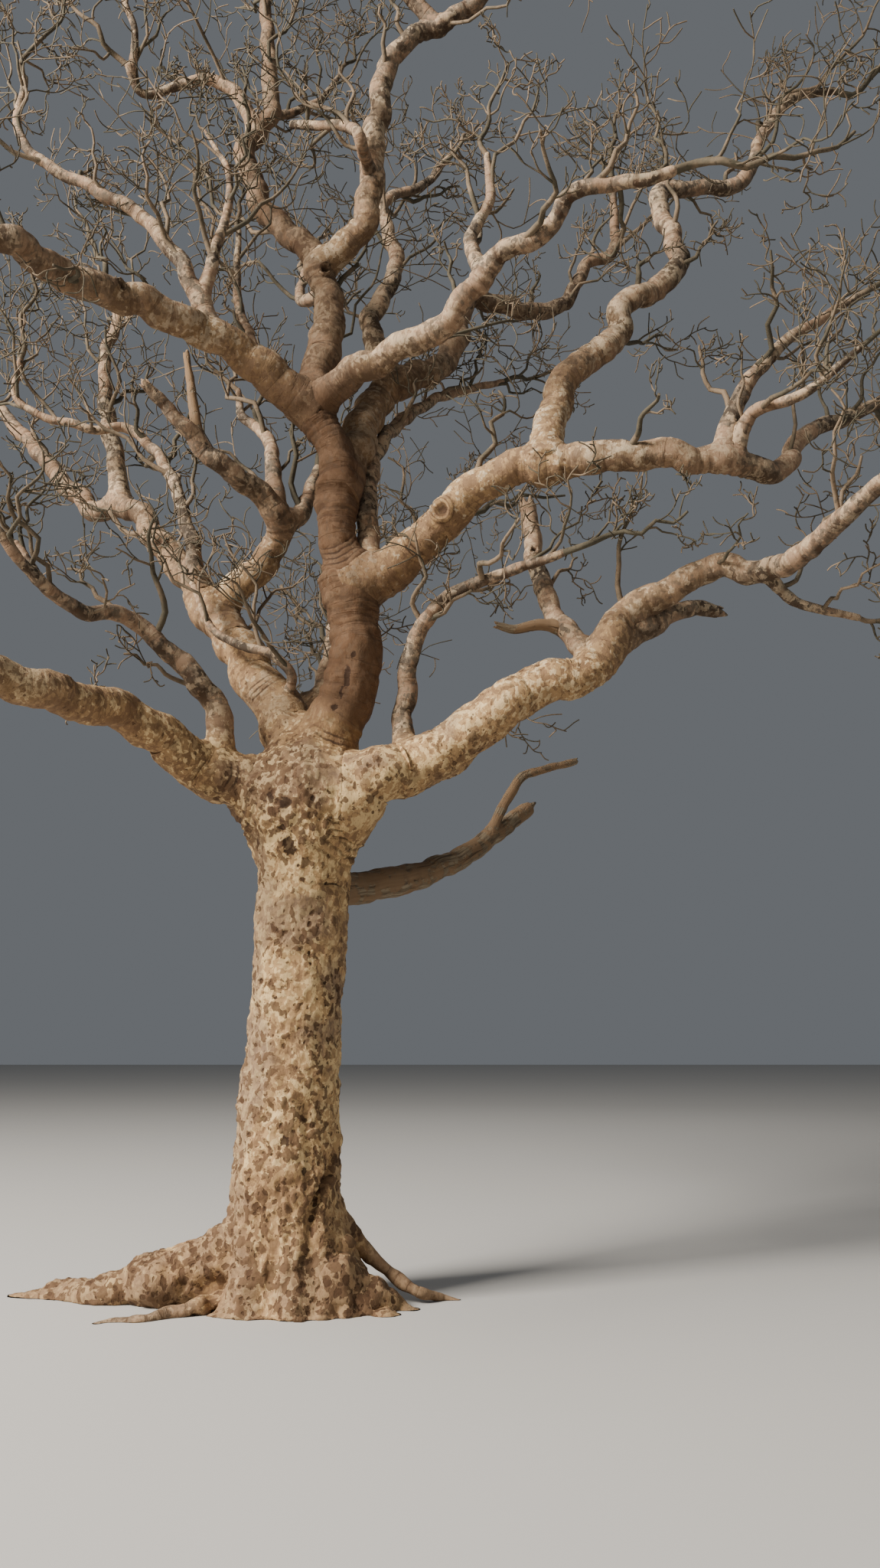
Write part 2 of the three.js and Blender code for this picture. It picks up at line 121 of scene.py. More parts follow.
LIMBS = (
    Limb("centre_stem", "trunk", 0.9, (0.375, 0.265), 0.12, 0.0, ((0.9, 352, 70), (0.55, 180, 86),
        (0.4, 180, 77), (0.55, 180, 88), (0.45, 180, 66)), thins=(0.52, 0.15)),
    Limb("right_low", "trunk", 0.85, (0.36, 0.08), 0.5, 1.5, ((0.3, 340, 10), (0.2, 335, 55),
        (0.5, 0, 20), (0.7, 350, 35), (0.45, 5, 20), (0.5, 20, 55), (0.25, 0, 30), (0.45, 345, 25),
        (0.35, 325, -20), (0.95, 295, 10), (0.6, 315, 35)), thins=(0.44, 0.15)),
    Limb("left_low", "trunk", 0.89, (0.285, 0.08), 0.75, 1.5, ((0.55, 195, 10), (0.7, 220, 25),
        (1.0, 240, 0), (0.7, 215, 15), (0.7, 230, 40), (0.6, 205, 25), (0.65, 235, 35))),
    Limb("left_rear", "trunk", 0.9, (0.34, 0.062), 0.45, 1.5, ((0.45, 130, 65), (1.95, 140, 50),
        (1.05, 145, 45), (0.35, 140, 5), (0.35, 150, 40), (1.55, 150, 45), (0.5, 135, 25),
        (0.45, 165, 50)), thins=(0.27, 0.14)),
    Limb("crown_stem", "centre_stem", 1, (0.235, 0.095), 0.1, 1.3, ((0.85, 65, 75), (0.5, 140, 75),
        (0.65, 160, 50), (0.5, 150, 65), (0.25, 120, 75), (0.45, 40, 65), (1.25, 115, 80))),
    Limb("upper_left", "centre_stem", 0.98, (0.24, 0.08), 0.2, 1.5, ((0.85, 210, 25), (1.0, 220, 0),
        (0.5, 240, -5), (0.7, 200, 25), (0.6, 230, 45), (0.45, 205, 20), (0.45, 235, 45))),
    Limb("upper_right", "centre_stem", 0.99, (0.205, 0.062), 0.15, 1.25, ((0.5, 325, 20), (0.6, 325, 5),
        (0.6, 325, 35), (0.25, 340, 15), (0.3, 325, 40), (0.15, 345, 20), (0.3, 340, -10),
        (0.2, 345, 10))),
    Limb("right_arm", "centre_stem", 0.51, (0.275, 0.062), 0.25, 1.3, ((0.35, 345, 20), (0.85, 335, 35),
        (1.3, 345, 0), (0.6, 20, 0), (0.5, 40, 45), (0.55, 20, 30), (0.45, 10, 30))),
    Limb("rear_diagonal", "centre_stem", 0.74, (0.275, 0.072), 0.02, 1.2, ((1.25, 65, 60), (0.9, 45, 40),
        (0.8, 50, 65), (0.3, 30, 0), (0.65, 30, 20), (0.55, 20, 60), (0.25, 15, 30), (0.75, 65, 80)),
        thins=(0.3, 0.1)),
    Limb("arm_riser", "right_arm", 0.34, (0.205, 0.062), 0.2, 1.3, ((0.45, 70, 70), (0.5, 35, 60),
        (0.45, 25, 45), (0.25, 40, 70), (0.7, 25, 45), (0.85, 100, 70), (0.75, 15, 20), (0.6, 25, 65),
        (0.55, 20, 50), (0.35, 15, 20))),
    Limb("arm_fork", "right_arm", 0.58, (0.118, 0.048), 0.2, 1.0, ((0.5, 20, 70), (0.6, 15, 50),
        (0.6, 5, 35))),
    Limb("rear_riser", "right_arm", 0.03, (0.15, 0.048), 0.2, 1.1, ((1.15, 90, 70), (1.25, 60, 45),
        (0.85, 40, 30))),
    Limb("low_riser", "right_low", 0.42, (0.14, 0.118), 0.15, 0.0, ((0.8, 130, 55), (0.7, 115, 75))),
    Limb("low_under", "right_low", 0.44, (0.172, 0.088), 0.1, 0.0, ((0.85, 25, 30), (0.2, 20, 0))),
    Limb("low_shoot", "right_low", 0.15, (0.15, 0.05), 0.2, 0.85, ((0.5, 95, 70), (0.65, 315, 65),
        (0.95, 335, 15))),
    Limb("left_middle", "left_low", 0.12, (0.175, 0.042), 0.2, 1.0, ((0.45, 160, 86), (0.7, 205, 45),
        (0.15, 219, 17), (0.35, 237, -10), (0.5, 237, 20), (0.5, 215, 50)), thins=(0.3, 0.12)),
    Limb("left_rear_riser", "left_rear", 0.52, (0.15, 0.062), 0.15, 1.25, ((1.4, 140, 75), (0.65, 85, 70),
        (0.5, 140, 65))),
    Limb("inner_left", "left_rear", 0.28, (0.245, 0.072), 0.1, 0.0, ((0.7, 340, 42), (0.2, 278, 56),
        (0.55, 218, 28), (0.7, 216, 36))),
    Limb("inner_riser", "inner_left", 0.42, (0.14, 0.046), 0.15, 0.8, ((0.85, 115, 65), (0.4, 140, 45),
        (0.35, 115, 60))),
    Limb("grey_stub", "inner_left", 0.77, (0.084, 0.044), 0.1, 0.0, ((0.7, 165, 80),)),
    Limb("thin_riser", "left_rear", 0.32, (0.112, 0.048), 0.2, 0.9, ((0.5, 180, 80), (0.65, 150, 65),
        (0.6, 150, 45), (0.3, 200, -10), (0.6, 190, 20), (0.3, 295, 65))),
    Limb("nest_riser", "upper_left", 0.17, (0.122, 0.044), 0.15, 1.0, ((0.95, 185, 60), (1.15, 180, 35),
        (0.55, 130, 85))),
    Limb("thin_pair", "upper_left", 0.1, (0.084, 0.04), 0.15, 0.75, ((0.8, 130, 65), (0.6, 105, 80))),
    Limb("crown_lead", "crown_stem", 0.29, (0.192, 0.075), 0.15, 1.3, ((0.4, 335, 35), (1.45, 350, 80),
        (0.8, 355, 35), (0.6, 300, 35), (0.55, 270, 25), (0.45, 290, 50))),
    Limb("crown_lead_left", "crown_lead", 0.53, (0.115, 0.06), 0.15, 1.0, ((0.6, 200, 45), (0.5, 235, 60),
        (0.45, 255, 30))),
    Limb("crown_loop", "crown_stem", 0.66, (0.108, 0.052), 0.15, 0.95, ((0.2, 215, 65), (0.35, 190, 45),
        (0.6, 185, -15), (0.2, 230, 50))),
    Limb("s_bend", "rear_diagonal", 0.26, (0.175, 0.048), 0.15, 0.95, ((0.7, 140, 70), (0.65, 45, 65),
        (0.7, 130, 75), (0.45, 25, 40), (0.45, 30, 55))),
    Limb("right_crook", "upper_right", 0.53, (0.098, 0.044), 0.15, 0.75, ((0.35, 130, 70), (0.4, 35, 65),
        (0.35, 130, 85))),
    Limb("low_dead", "trunk", 0.7, (0.23, 0.112), 0.1, 0.0, ((1.35, 45, 15), (1.05, 45, 30))),
    Limb("back_low", "trunk", 0.95, (0.265, 0.07), 0.5, 1.5, ((0.7, 85, 22), (0.7, 108, 40),
        (0.8, 92, 12), (0.7, 75, 42), (0.7, 105, 35))),
    Limb("back_high", "crown_stem", 0.1, (0.165, 0.062), 0.15, 1.3, ((0.7, 98, 40), (0.6, 85, 62),
        (0.7, 118, 30), (0.6, 92, 55))),
    Limb("back_right", "back_low", 0.3, (0.16, 0.06), 0.15, 1.4, ((0.6, 85, 55), (0.7, 75, 60),
        (0.7, 40, 40), (0.7, 55, 50), (0.5, 30, 35))),
)

# Lesser limbs that leave the ones above
SIDE_LIMBS = (
    Limb("arm_crook", "right_arm", 0.6, (0.097, 0.037), 0.15, 0.65, ((0.3, 310, 60), (0.35, 320, 5),
        (0.4, 330, 30))),
    Limb("inner_rear", "inner_left", 0.4, (0.15, 0.06), 0.15, 0.9, ((0.15, 35, 25), (0.7, 75, 55))),
    Limb("nest_riser_twin", "nest_riser", 0.11, (0.093, 0.022), 0.15, 0.6, ((1.05, 40, 80),
        (0.5, 165, 65))),
    Limb("crown_bar", "crown_lead", 0.19, (0.086, 0.06), 0.15, 0.7, ((0.4, 260, 0), (0.2, 125, 55),
        (0.7, 140, 30))),
    Limb("crown_hook", "crown_stem", 0.81, (0.09, 0.04), 0.15, 0.7, ((0.35, 95, -5), (0.5, 25, 35),
        (0.35, 20, 60))),
    Limb("front_shoot", "left_rear", 0.1, (0.07, 0.045), 0.15, 0.6, ((0.3, 300, 55), (0.15, 205, 45),
        (0.5, 160, 25), (0.55, 140, 55))),
    Limb("tip_curl", "right_low", 0.7, (0.08, 0.04), 0.15, 0.5, ((0.3, 20, -35), (0.4, 0, -15))),
    Limb("dead_spur", "low_dead", 0.77, (0.08, 0.053), 0.1, 0.0, ((0.55, 10, 60), (0.45, 10, 20))),
    Limb("riser_stub", "low_riser", 0.26, (0.085, 0.05), 0.1, 0.0, ((0.18, 184, 8), (0.18, 174, -8),
        (0.1, 186, 12))),
    Limb("middle_curl", "left_middle", 0.75, (0.062, 0.05), 0.15, 0.45, ((0.3, 160, 55),)),
    Limb("loop_rise", "crown_loop", 0.95, (0.06, 0.04), 0.1, 0.6, ((0.35, 290, 80), (0.4, 195, 70))),
)

DEAD_LIMBS = ("low_dead", "grey_stub", "dead_spur", "riser_stub")

# Limbs that stray less than others from their planned lines, and the share that is left
STEADY_LIMBS = {"low_dead": 0.35, "centre_stem": 0.4}


@dataclass(frozen=True)
class RootFlare:
    """A ridge down the butt: its heading, its half width in degrees, and how far it stands out."""

    heading: float
    width: float
    swell: float


@dataclass(frozen=True)
class SurfaceRoot:
    """A root that runs out along the ground, half sunk in it."""

    heading: float
    bend: float
    start: float
    out: float
    girth: float


ROOT_FLARES = (
    RootFlare(328, 28, 0.12), RootFlare(272, 22, 0.04), RootFlare(218, 24, 0.11),
    RootFlare(172, 22, 0.13), RootFlare(95, 26, 0.11), RootFlare(30, 26, 0.08),
)
SURFACE_ROOTS = (
    SurfaceRoot(4, 4, 0.7, 1.02, 0.125), SurfaceRoot(350, 0, 0.43, 0.74, 0.36),
    SurfaceRoot(334, 6, 0.4, 0.65, 0.42), SurfaceRoot(179, -8, 0.31, 1.75, 0.44),
    SurfaceRoot(203, 4, 0.12, 1.15, 0.15), SurfaceRoot(92, 12, 0.38, 1.1, 0.24),
)


@dataclass(frozen=True)
class Cleft:
    """A groove that runs down the butt.

    Attributes:
        heading: Which way it faces, in degrees.
        width: Half its width, in degrees.
        depth: How deep it goes.
        height: Where it is deepest.
        reach: How far it fades above and below that.
        slant: How far it turns round the trunk for each metre up, in degrees.
    """

    heading: float
    width: float
    depth: float
    height: float
    reach: float
    slant: float = 0.0


CLEFTS = (
    Cleft(316, 5, 0.08, 0.66, 0.24, 85), Cleft(300, 4, 0.02, 1.0, 0.25), Cleft(205, 7, 0.05, 0.3, 0.4),
    Cleft(262, 5, 0.02, 0.25, 0.25), Cleft(62, 7, 0.05, 0.35, 0.45), Cleft(130, 6, 0.04, 0.4, 0.4),
)
CLEFT_WOBBLE = 3.0
CLEFT_WAVE = 13.0
BUTT_REACH = 0.64
ROOT_LIFT = 0.002
ROOT_SLOPE = ((0.12, 1.0), (0.38, 0.52), (0.68, 0.15))
ROOT_DIP = 0.01
ROOT_SINK = 0.11
ROOT_SWAY = 0.035
ROOT_KNOBS = (0.13, 0.08)
ROOT_TAPER = 0.66


@dataclass(frozen=True)
class TwigOrder:
    """How one order of twigs grows.

    Attributes:
        joints: Its stretches.
        bears: The first joint that bears finer twigs.
        kink: The turn at a joint.
        lift: The pull upwards at a joint.
        length: Its length, as a share of what bears it.
        girth: Its thickness, as a share of what bears it.
        curl: The steady turn to one side at a joint.
    """

    joints: int
    bears: int
    kink: float
    lift: float
    length: float
    girth: float
    curl: float = 0.0


# The first orders are those of the solids, and the finer ones grow on from them by the same rule
STOUT_ORDERS = (
    TwigOrder(4, 1, 0.3, 0.1, 0.95, 0.9),
    TwigOrder(3, 2, 0.42, 0.12, 0.62, 0.62),
    TwigOrder(2, 1, 0.5, 0.14, 0.55, 0.65),
)
FINE_ORDERS = (
    TwigOrder(5, 2, 0.4, 0.16, 1.7, 1.0, 0.3),
    TwigOrder(3, 1, 0.4, 0.18, 0.6, 0.8, 0.36),
)
TWIG_SWAY = 0.5
TWIG_TIP = 0.4
TWIG_LEAST = 0.005
TWIG_ROOT = 0.7
TWIG_SPREAD = (0.75, 1.2)
TWIG_SHRINK = 0.45
TWIG_STRAY = (0.8, 1.2)
TWIG_GAP = 0.004
SEAT_GAP = 0.0004
GOLDEN_TURN = 2.39996
FULL_TURN = 6.28
SPACE_AHEAD = 0.62
SPACE_LIFT = 0.12
SOLID_RING_STEP = 0.35
TAPER_POWER = 0.85
COLLAR_FADE = 0.5
FORK_SPAN = 0.08
CURVE_CHECKS = 12
CHANCE_WAVES = (12.9898, 78.233)
CHANCE_SCALE = 43758.5453


class Draw(IntEnum):
    """What a number drawn by chance decides."""

    TINT = 33
    SHOOT_STEP = 51
    SHOOT_ROLL = 52
    SHOOT_SPREAD = 53
    SHOOT_LENGTH = 54
    SHOOT_RADIUS = 55
    SIDE_PLACE = 71
    SIDE_ROLL = 72
    SIDE_SPREAD = 73
    SIDE_LENGTH = 74
    CURL = 81
    SWAY = 85
    SPREAD = 91
    ROLL = 92
    LENGTH = 93


# The growth rule

def chance(key: float, place: float) -> float:
    """Gives a number from 0 to 1 that is always the same for the same key and place."""
    wave = math.sin(key * CHANCE_WAVES[0] + place * CHANCE_WAVES[1]) * CHANCE_SCALE
    return wave - math.floor(wave)


def drawn(span: Span, key: float, draw: Draw, power: float = 1.0) -> float:
    """Draws a number between the two of a span, nearer to the first where the power is high."""
    return span[0] + (span[1] - span[0]) * chance(key, draw) ** power


def turn_between(start: Array | float, end: Array) -> Array:
    """Gives the turn from one heading to another, in degrees, the short way round."""
    return (end - start + 540.0) % 360.0 - 180.0


def bearing(heading: float, rise: float) -> Array:
    """Gives the unit vector at a heading and a rise."""
    turn, lift = math.radians(heading), math.radians(rise)
    return np.array([math.cos(lift) * math.cos(turn), math.cos(lift) * math.sin(turn),
                     math.sin(lift)])


def unit(vector: Array) -> Array:
    """Scales a vector, or each row of several, to length 1."""
    return vector / np.maximum(np.linalg.norm(vector, axis=-1, keepdims=True), 1e-9)


def across(direction: Array) -> Array:
    """Gives a unit vector across a direction."""
    guide = np.array([1.0, 0.0, 0.0] if abs(direction[2]) > 0.9 else [0.0, 0.0, 1.0])
    return unit(np.cross(direction, guide))


def turned(vector: Array, axis: Array, angle: float) -> Array:
    """Turns a vector that lies across a unit axis about it, by an angle in radians."""
    return vector * math.cos(angle) + np.cross(axis, vector) * math.sin(angle)


def leaning(ahead: Array, roll: float, spread: float, lift: float = 0.0) -> Array:
    """Gives the way that a side twig sets off.

    Args:
        ahead: The direction of what bears it.
        roll: How far round that it stands, in radians.
        spread: How far it leans away from it, in radians.
        lift: How strongly its lean is drawn upwards.

    Returns:
        The heading.
    """
    side = turned(across(ahead), ahead, roll)
    if lift:
        side = unit(side + [0.0, 0.0, lift])
    return ahead * math.cos(spread) + side * math.sin(spread)


def smooth(values: Array, low: float, high: float) -> Array:
    """Eases values from 0 at low to 1 at high."""
    share = np.clip((values - low) / (high - low), 0.0, 1.0)
    return share * share * (3.0 - 2.0 * share)


def curve_points(corners: Array, params: Array) -> Array:
    """Reads the smooth curve through some corners.

    Args:
        corners: The points that the curve passes through.
        params: Where to read it, from 0 to 1, with each stretch between corners counted alike.

    Returns:
        One point for each param.
    """
    last = len(corners) - 1
    place = np.clip(params, 0.0, 1.0) * last
    span = np.minimum(place.astype(int), last - 1)
    share = (place - span)[:, None]
    padded = np.vstack([2 * corners[0] - corners[1], corners, 2 * corners[-1] - corners[-2]])
    before, here, there, after = (padded[span + step] for step in range(4))
    lead, run, trail = (np.sqrt(np.linalg.norm(end - start, axis=1))[:, None]
                        for start, end in ((before, here), (here, there), (there, after)))
    leave = ((here - before) / lead - (there - before) / (lead + run) + (there - here) / run) * run
    enter = ((there - here) / run - (after - here) / (run + trail) + (after - there) / trail) * run
    rise = there - here
    return (here + share * (leave + share * (3 * rise - 2 * leave - enter
                                             + share * (leave + enter - 2 * rise))))


def lengths_along(points: Array) -> Array:
    """Gives how far along a line of points each of them lies."""
    steps = np.linalg.norm(np.diff(points, axis=0), axis=1)
    return np.concatenate([[0.0], np.cumsum(steps)])


class Spine:
    """The smooth curve through the ends of a limb's legs, read by its length."""

    def __init__(self, start: Array, legs: tuple[Leg, ...]) -> None:
        """Lays the legs end to end from a start."""
        corners = [start]
        for length, heading, rise in legs:
            corners.append(corners[-1] + length * bearing(heading, rise))
        self.corners = np.array(corners)
        self.params = np.linspace(0.0, 1.0, CURVE_CHECKS * len(legs) + 1)
        self.marks = lengths_along(curve_points(self.corners, self.params))
        self.length = float(self.marks[-1])

    def at(self, distances: Array) -> Array:
        """Gives the points at some distances along the curve."""
        return curve_points(self.corners, np.interp(distances, self.marks, self.params))

    def point(self, share: float) -> Array:
        """Gives the point at a share of the curve's length."""
        return self.at(np.array([share * self.length]))[0]


def frames_along(points: Array) -> tuple[Array, Array, Array]:
    """Gives a direction and two vectors across it at each point, turned as little as possible.

    Args:
        points: A line of points.

    Returns:
        The directions, the first vectors across and the second vectors across.
    """
    ahead = np.vstack([points[1:], points[-1:]])
    directions = unit(ahead - np.vstack([points[:1], points[:-1]]))
    side = across(directions[0])
    sides = []
    for direction in directions:
        side = unit(side - direction * side.dot(direction))
        sides.append(side)
    sides = np.array(sides)
    return directions, sides, np.cross(directions, sides)


# Wood in place

@dataclass
class Nearness:
    """How near some points are to a piece of wood.

    Attributes:
        gap: The distance of each point from the wood's surface, below 0 inside it.
        away: The unit vector from the wood's middle line to each point.
        girth: The wood's radius at its place nearest each point.
    """

    gap: Array
    away: Array
    girth: Array


class Wood:
    """A piece of round wood in place: a middle line, and a radius at each of its points."""

    rough_step = 3

    def __init__(self, name: str, line: Array, radii: Array) -> None:
        """Takes the middle line and the radii, and measures how far along each point lies."""
        self.name = name
        self.line = line
        self.radii = radii
        self.marks = lengths_along(line)
        self.length = float(self.marks[-1])

    def radius(self, distance: float) -> float:
        """Gives the radius at a distance from the base."""
        return float(np.interp(distance, self.marks, self.radii))

    def nearness(self, points: Array) -> Nearness:
        """Measures how near some points are to the wood."""
        kept = np.unique(np.append(np.arange(0, len(self.line), self.rough_step),
                                   len(self.line) - 1))
        starts, radii = self.line[kept[:-1]], self.radii[kept]
        runs = np.diff(self.line[kept], axis=0)
        squares = np.sum(runs * runs, axis=1)
        ahead = points @ runs.T - np.sum(starts * runs, axis=1)
        shares = np.clip(ahead / squares, 0.0, 1.0)
        apart = (np.sum(points * points, axis=1)[:, None] - 2 * points @ starts.T
                 + np.sum(starts * starts, axis=1))
        reach = np.sqrt(np.maximum(apart - 2 * shares * ahead + shares ** 2 * squares, 0.0))
        near = radii[:-1] + shares * np.diff(radii)
        row = np.arange(len(points))
        best = np.argmin(reach - near, axis=1)
        foot = starts[best] + shares[row, best][:, None] * runs[best]
        return Nearness((reach - near)[row, best], unit(points - foot), near[row, best])


class GrownLimb(Wood):
    """A planned limb in place."""

    row_step = 0.013
    sway = 0.34
    sway_waves = (0.31, 0.47, 0.83)
    sway_radius = 0.09
    steady_base = (0.15, 0.5)
    steady_tip = (0.02, 0.3)

    def __init__(self, plan: Limb, start: Array) -> None:
        """Lays a planned limb out from its start."""
        self.plan = plan
        self.spine = Spine(start, plan.legs)
        length = self.spine.length
        marks = np.linspace(0.0, length, round(length / self.row_step) + 1)
        radii = self.planned_radius(marks)
        super().__init__(plan.name, self.spine.at(marks) + self.wander(marks, radii), radii)
        self.start = start

    def wander(self, marks: Array, radii: Array) -> Array:
        """Gives how far the limb strays from its planned line, which it meets at both ends.

        Args:
            marks: Distances from its base.
            radii: Its radius at each.

        Returns:
            The offset at each.
        """
        key = float(np.sum(self.plan.girth) * 1000.0 + len(self.plan.name))
        offset = np.zeros((len(marks), 3))
        for number, wave in enumerate(self.sway_waves):
            for axis in range(3):
                turn = FULL_TURN * chance(key + 7 * number, axis)
                offset[:, axis] += np.sin(FULL_TURN * marks / wave + turn) / len(self.sway_waves)
        ends = smooth(marks, *self.steady_base)
        ends = ends * smooth(self.spine.length - marks, *self.steady_tip)
        sway = self.sway * STEADY_LIMBS.get(self.plan.name, 1.0)
        return offset * (sway * np.minimum(radii, self.sway_radius) * ends)[:, None]

    def planned_radius(self, distance: Array) -> Array:
        """Gives the limb's radius at some distances from its base."""
        base, tip = self.plan.girth
        share = distance / self.spine.length
        left = np.maximum(0.0, 1.0 - share) ** TAPER_POWER
        collar = 1.0 + self.plan.collar * np.exp(-distance / COLLAR_FADE)
        fork, loss = self.plan.thins
        past = smooth(share, fork, fork + FORK_SPAN)
        return 0.5 * (tip + (base - tip) * left) * collar * (1.0 - loss * past)


def grown_root(root: SurfaceRoot) -> Wood:
    """Lays a surface root out along the ground."""
    heights = [(share, rise * root.start) for share, rise in ROOT_SLOPE] + [(1.0, -ROOT_DIP)]
    corners = np.array([
        bearing(root.heading + root.bend * share, 0) * share * root.out + [0.0, 0.0, height]
        for share, height in heights])
    line = curve_points(corners, np.linspace(0.0, 1.0, round(root.out / GrownLimb.row_step)))
    share = np.linspace(0.0, 1.0, len(line))
    aside = bearing(root.heading + 90.0, 0)
    wave = np.sin(9.0 * share + root.heading) + 0.6 * np.sin(21.0 * share + 2.0 * root.heading)
    line += (ROOT_SWAY * wave * smooth(share, 0.2, 0.5))[:, None] * aside
    line[:, 2] -= (ROOT_SINK * root.girth - ROOT_DIP) * smooth(share, 0.35, 1.0)
    knobs = (ROOT_KNOBS[0] * np.sin(13.0 * share + root.heading)
             + ROOT_KNOBS[1] * np.sin(31.0 * share + root.start))
    bulging = 1.0 + knobs * smooth(share, 0.15, 0.4)
    return Wood("root", line, 0.5 * root.girth * (1.0 - ROOT_TAPER * share) * bulging)


@dataclass
class Trunk:
    """The trunk: a straight shaft on a flared butt, swelling into a dome between the boughs.

    Attributes:
        height: The height of the dome's top.
        shaft: The shaft's radius.
        butt: How much the butt adds to it at the ground.
        butt_fade: How fast that fades upwards.
        flare_fade: How fast the root flares do.
        skirt: How much the foot adds at the ground.
        skirt_fade: How fast that fades upwards.
        fork_start: Where the swelling under the fork starts.
        fork_swell: How much it adds.
        dome_start: Where the dome starts.
        rows: The rings up to the dome.
        dome_rows: The rings of the dome.
        sides: The points of each ring.
        legs: The trunk's lean.
        name: The name of its node.
    """

    height: float = 3.5
    shaft: float = 0.277
    butt: float = 0.09
    butt_fade: float = 1.1
    flare_fade: float = 0.2
    skirt: float = 0.05
    skirt_fade: float = 0.07
    fork_start: float = 2.5
    fork_swell: float = 0.13
    dome_start: float = 3.1
    rows: int = 262
    dome_rows: int = 26
    sides: int = 236
    legs: tuple[Leg, ...] = ((0.9, 180, 87), (0.95, 0, 87), (1.65, 18, 89))
    name: str = "trunk"

    def __post_init__(self) -> None:
        """Lays the trunk's middle line."""
        self.spine = Spine(np.zeros(3), self.legs)

    def centre(self, height: Array) -> Array:
        """Gives the trunk's middle at some heights."""
        middle = self.spine.at(height / self.height * self.spine.length)
        middle[:, 2] = height
        return middle

    def radius(self, height: Array, heading: Array) -> Array:
        """Gives the trunk's radius, without its dome.

        Args:
            height: Heights above the ground.
            heading: Headings in degrees, of the same shape.

        Returns:
            The radii.
        """
        radius = self.shaft + self.butt * np.exp(-height / self.butt_fade)
        radius = radius + self.skirt * np.exp(-height / self.skirt_fade)
        radius = radius + self.fork_swell * smooth(height, self.fork_start, self.dome_start)
        for root in ROOT_FLARES:
            off = turn_between(root.heading, heading)
            ridge = np.exp(-(off / root.width) ** 2)
            radius = radius + root.swell * ridge * np.exp(-height / self.flare_fade)
        for cleft in CLEFTS:
            rise = height - cleft.height
            turn = cleft.heading + cleft.slant * rise - CLEFT_WOBBLE * np.sin(CLEFT_WAVE * height)
            off = turn_between(turn, heading)
            fade = (rise / cleft.reach) ** 2
            radius = radius - cleft.depth * np.exp(-(off / cleft.width) ** 2 - fade)
        return radius

    def nearness(self, points: Array) -> Nearness:
        """Measures how near some points are to the trunk."""
        height = np.clip(points[:, 2], 0.0, self.height)
        out = points - self.centre(height)
        level = np.hypot(out[:, 0], out[:, 1])
        heading = np.degrees(np.arctan2(out[:, 1], out[:, 0])) % 360.0
        radius = self.radius(height, heading)
        dome = self.height - self.dome_start
        above = np.maximum(0.0, points[:, 2] - self.dome_start)
        scaled = np.hypot(level / radius, above / dome)
        slope = np.hypot(level / radius ** 2, above / dome ** 2)
        gap = np.where(above > 0.0, scaled * (scaled - 1.0) / np.maximum(slope, 1e-6),
                       level - radius)
        away = out.copy()
        away[:, 2] = np.where(above > 0.0, above * (radius / dome) ** 2, 0.0)
        return Nearness(gap, unit(away), radius)


# Wood surfaces

@dataclass
class Surface:
    """A skin of wood, or a part of one, before its relief.

    Attributes:
        points: Its points.
        faces: Its faces, as indices of points.
        normals: The way out at each point.
        girth: The wood's radius at each point.
        grain: Each point's place in the limb: twice across it, and along it.
        fold: How far each point lies from the limb that presses on it.
        press: How hard that limb presses, from 0 to 1.
        knot: How far each point lies from the nearest knot's middle, in knot radii.
        stain: How far each point lies from the middle of the nearest stain, or stretch of painted shade
            down the butt's cleft, in its own half sizes.
    """

    points: Array
    faces: list[tuple[int, ...]]
    normals: Array
    girth: Array
    grain: Array
    fold: Array | None = None
    press: Array | None = None
    knot: Array | None = None
    stain: Array | None = None


def closed_skin(rings: Surface, ends: Surface) -> Surface:
    """Wraps faces round rings of points, and closes both ends.

    Args:
        rings: The rings, in arrays of rows and sides, without faces.
        ends: The points at the middle of the first ring and past the last, without faces.

    Returns:
        The skin, with its faces turned outwards.
    """
    rows, sides = rings.girth.shape
    total = rows * sides
    ring = np.arange(rows - 1)[:, None] * sides
    side = np.arange(sides)[None, :]
    after = (side + 1) % sides
    corners = np.stack([ring + side, ring + after, ring + sides + after, ring + sides + side], -1)
    faces = [tuple(face) for face in corners.reshape(-1, 4).tolist()]
    last = total - sides
    faces += [(total, (step + 1) % sides, step) for step in range(sides)]
    faces += [(total + 1, last + step, last + (step + 1) % sides) for step in range(sides)]
    return Surface(np.vstack([rings.points.reshape(-1, 3), ends.points]), faces,
                   np.vstack([rings.normals.reshape(-1, 3), ends.normals]),
                   np.append(rings.girth.ravel(), ends.girth),
                   np.vstack([rings.grain.reshape(-1, 3), ends.grain]))


# Limbs with smoother, browner bark than others as thick: how much so at the base, and further on. On the
# centre stem the browning is partly painted shade, for the crown's shadow on it.
SMOOTH_BARK_AND_STEM_SHADE = {"centre_stem": (0.0, 0.75), "left_rear": (0.0, 0.25), "right_arm": (0.5, 0.0),
               "upper_left": (0.5, 0.1), "upper_right": (0.62, 0.05),
               "rear_diagonal": (0.6, 0.3), "crown_stem": (0.6, 0.4)}
SMOOTH_SPAN = (0.1, 0.7)


class LimbEnd(Enum):
    """How a limb's free end is finished."""

    ROUND = "round"
    BROKEN = "broken"


@dataclass(frozen=True)
class EndRing:
    """A ring past the last of a limb: how far out and how wide, in radii, and how jagged."""

    out: float
    width: float
    jag: float


END_RINGS = {
    LimbEnd.ROUND: (EndRing(0.3, 0.95, 0.0), EndRing(0.6, 0.8, 0.0), EndRing(0.85, 0.52, 0.0),
                    EndRing(0.96, 0.25, 0.0)),
    LimbEnd.BROKEN: (EndRing(0.25, 0.97, 0.5), EndRing(0.4, 0.85, 1.0), EndRing(0.25, 0.66, 0.9),
                     EndRing(-0.1, 0.4, 0.6), EndRing(-0.25, 0.18, 0.3)),
}
JAG_DEPTH = 2.2
LIMB_SIDES = (12, 84)
CAP_GIRTH = 0.3


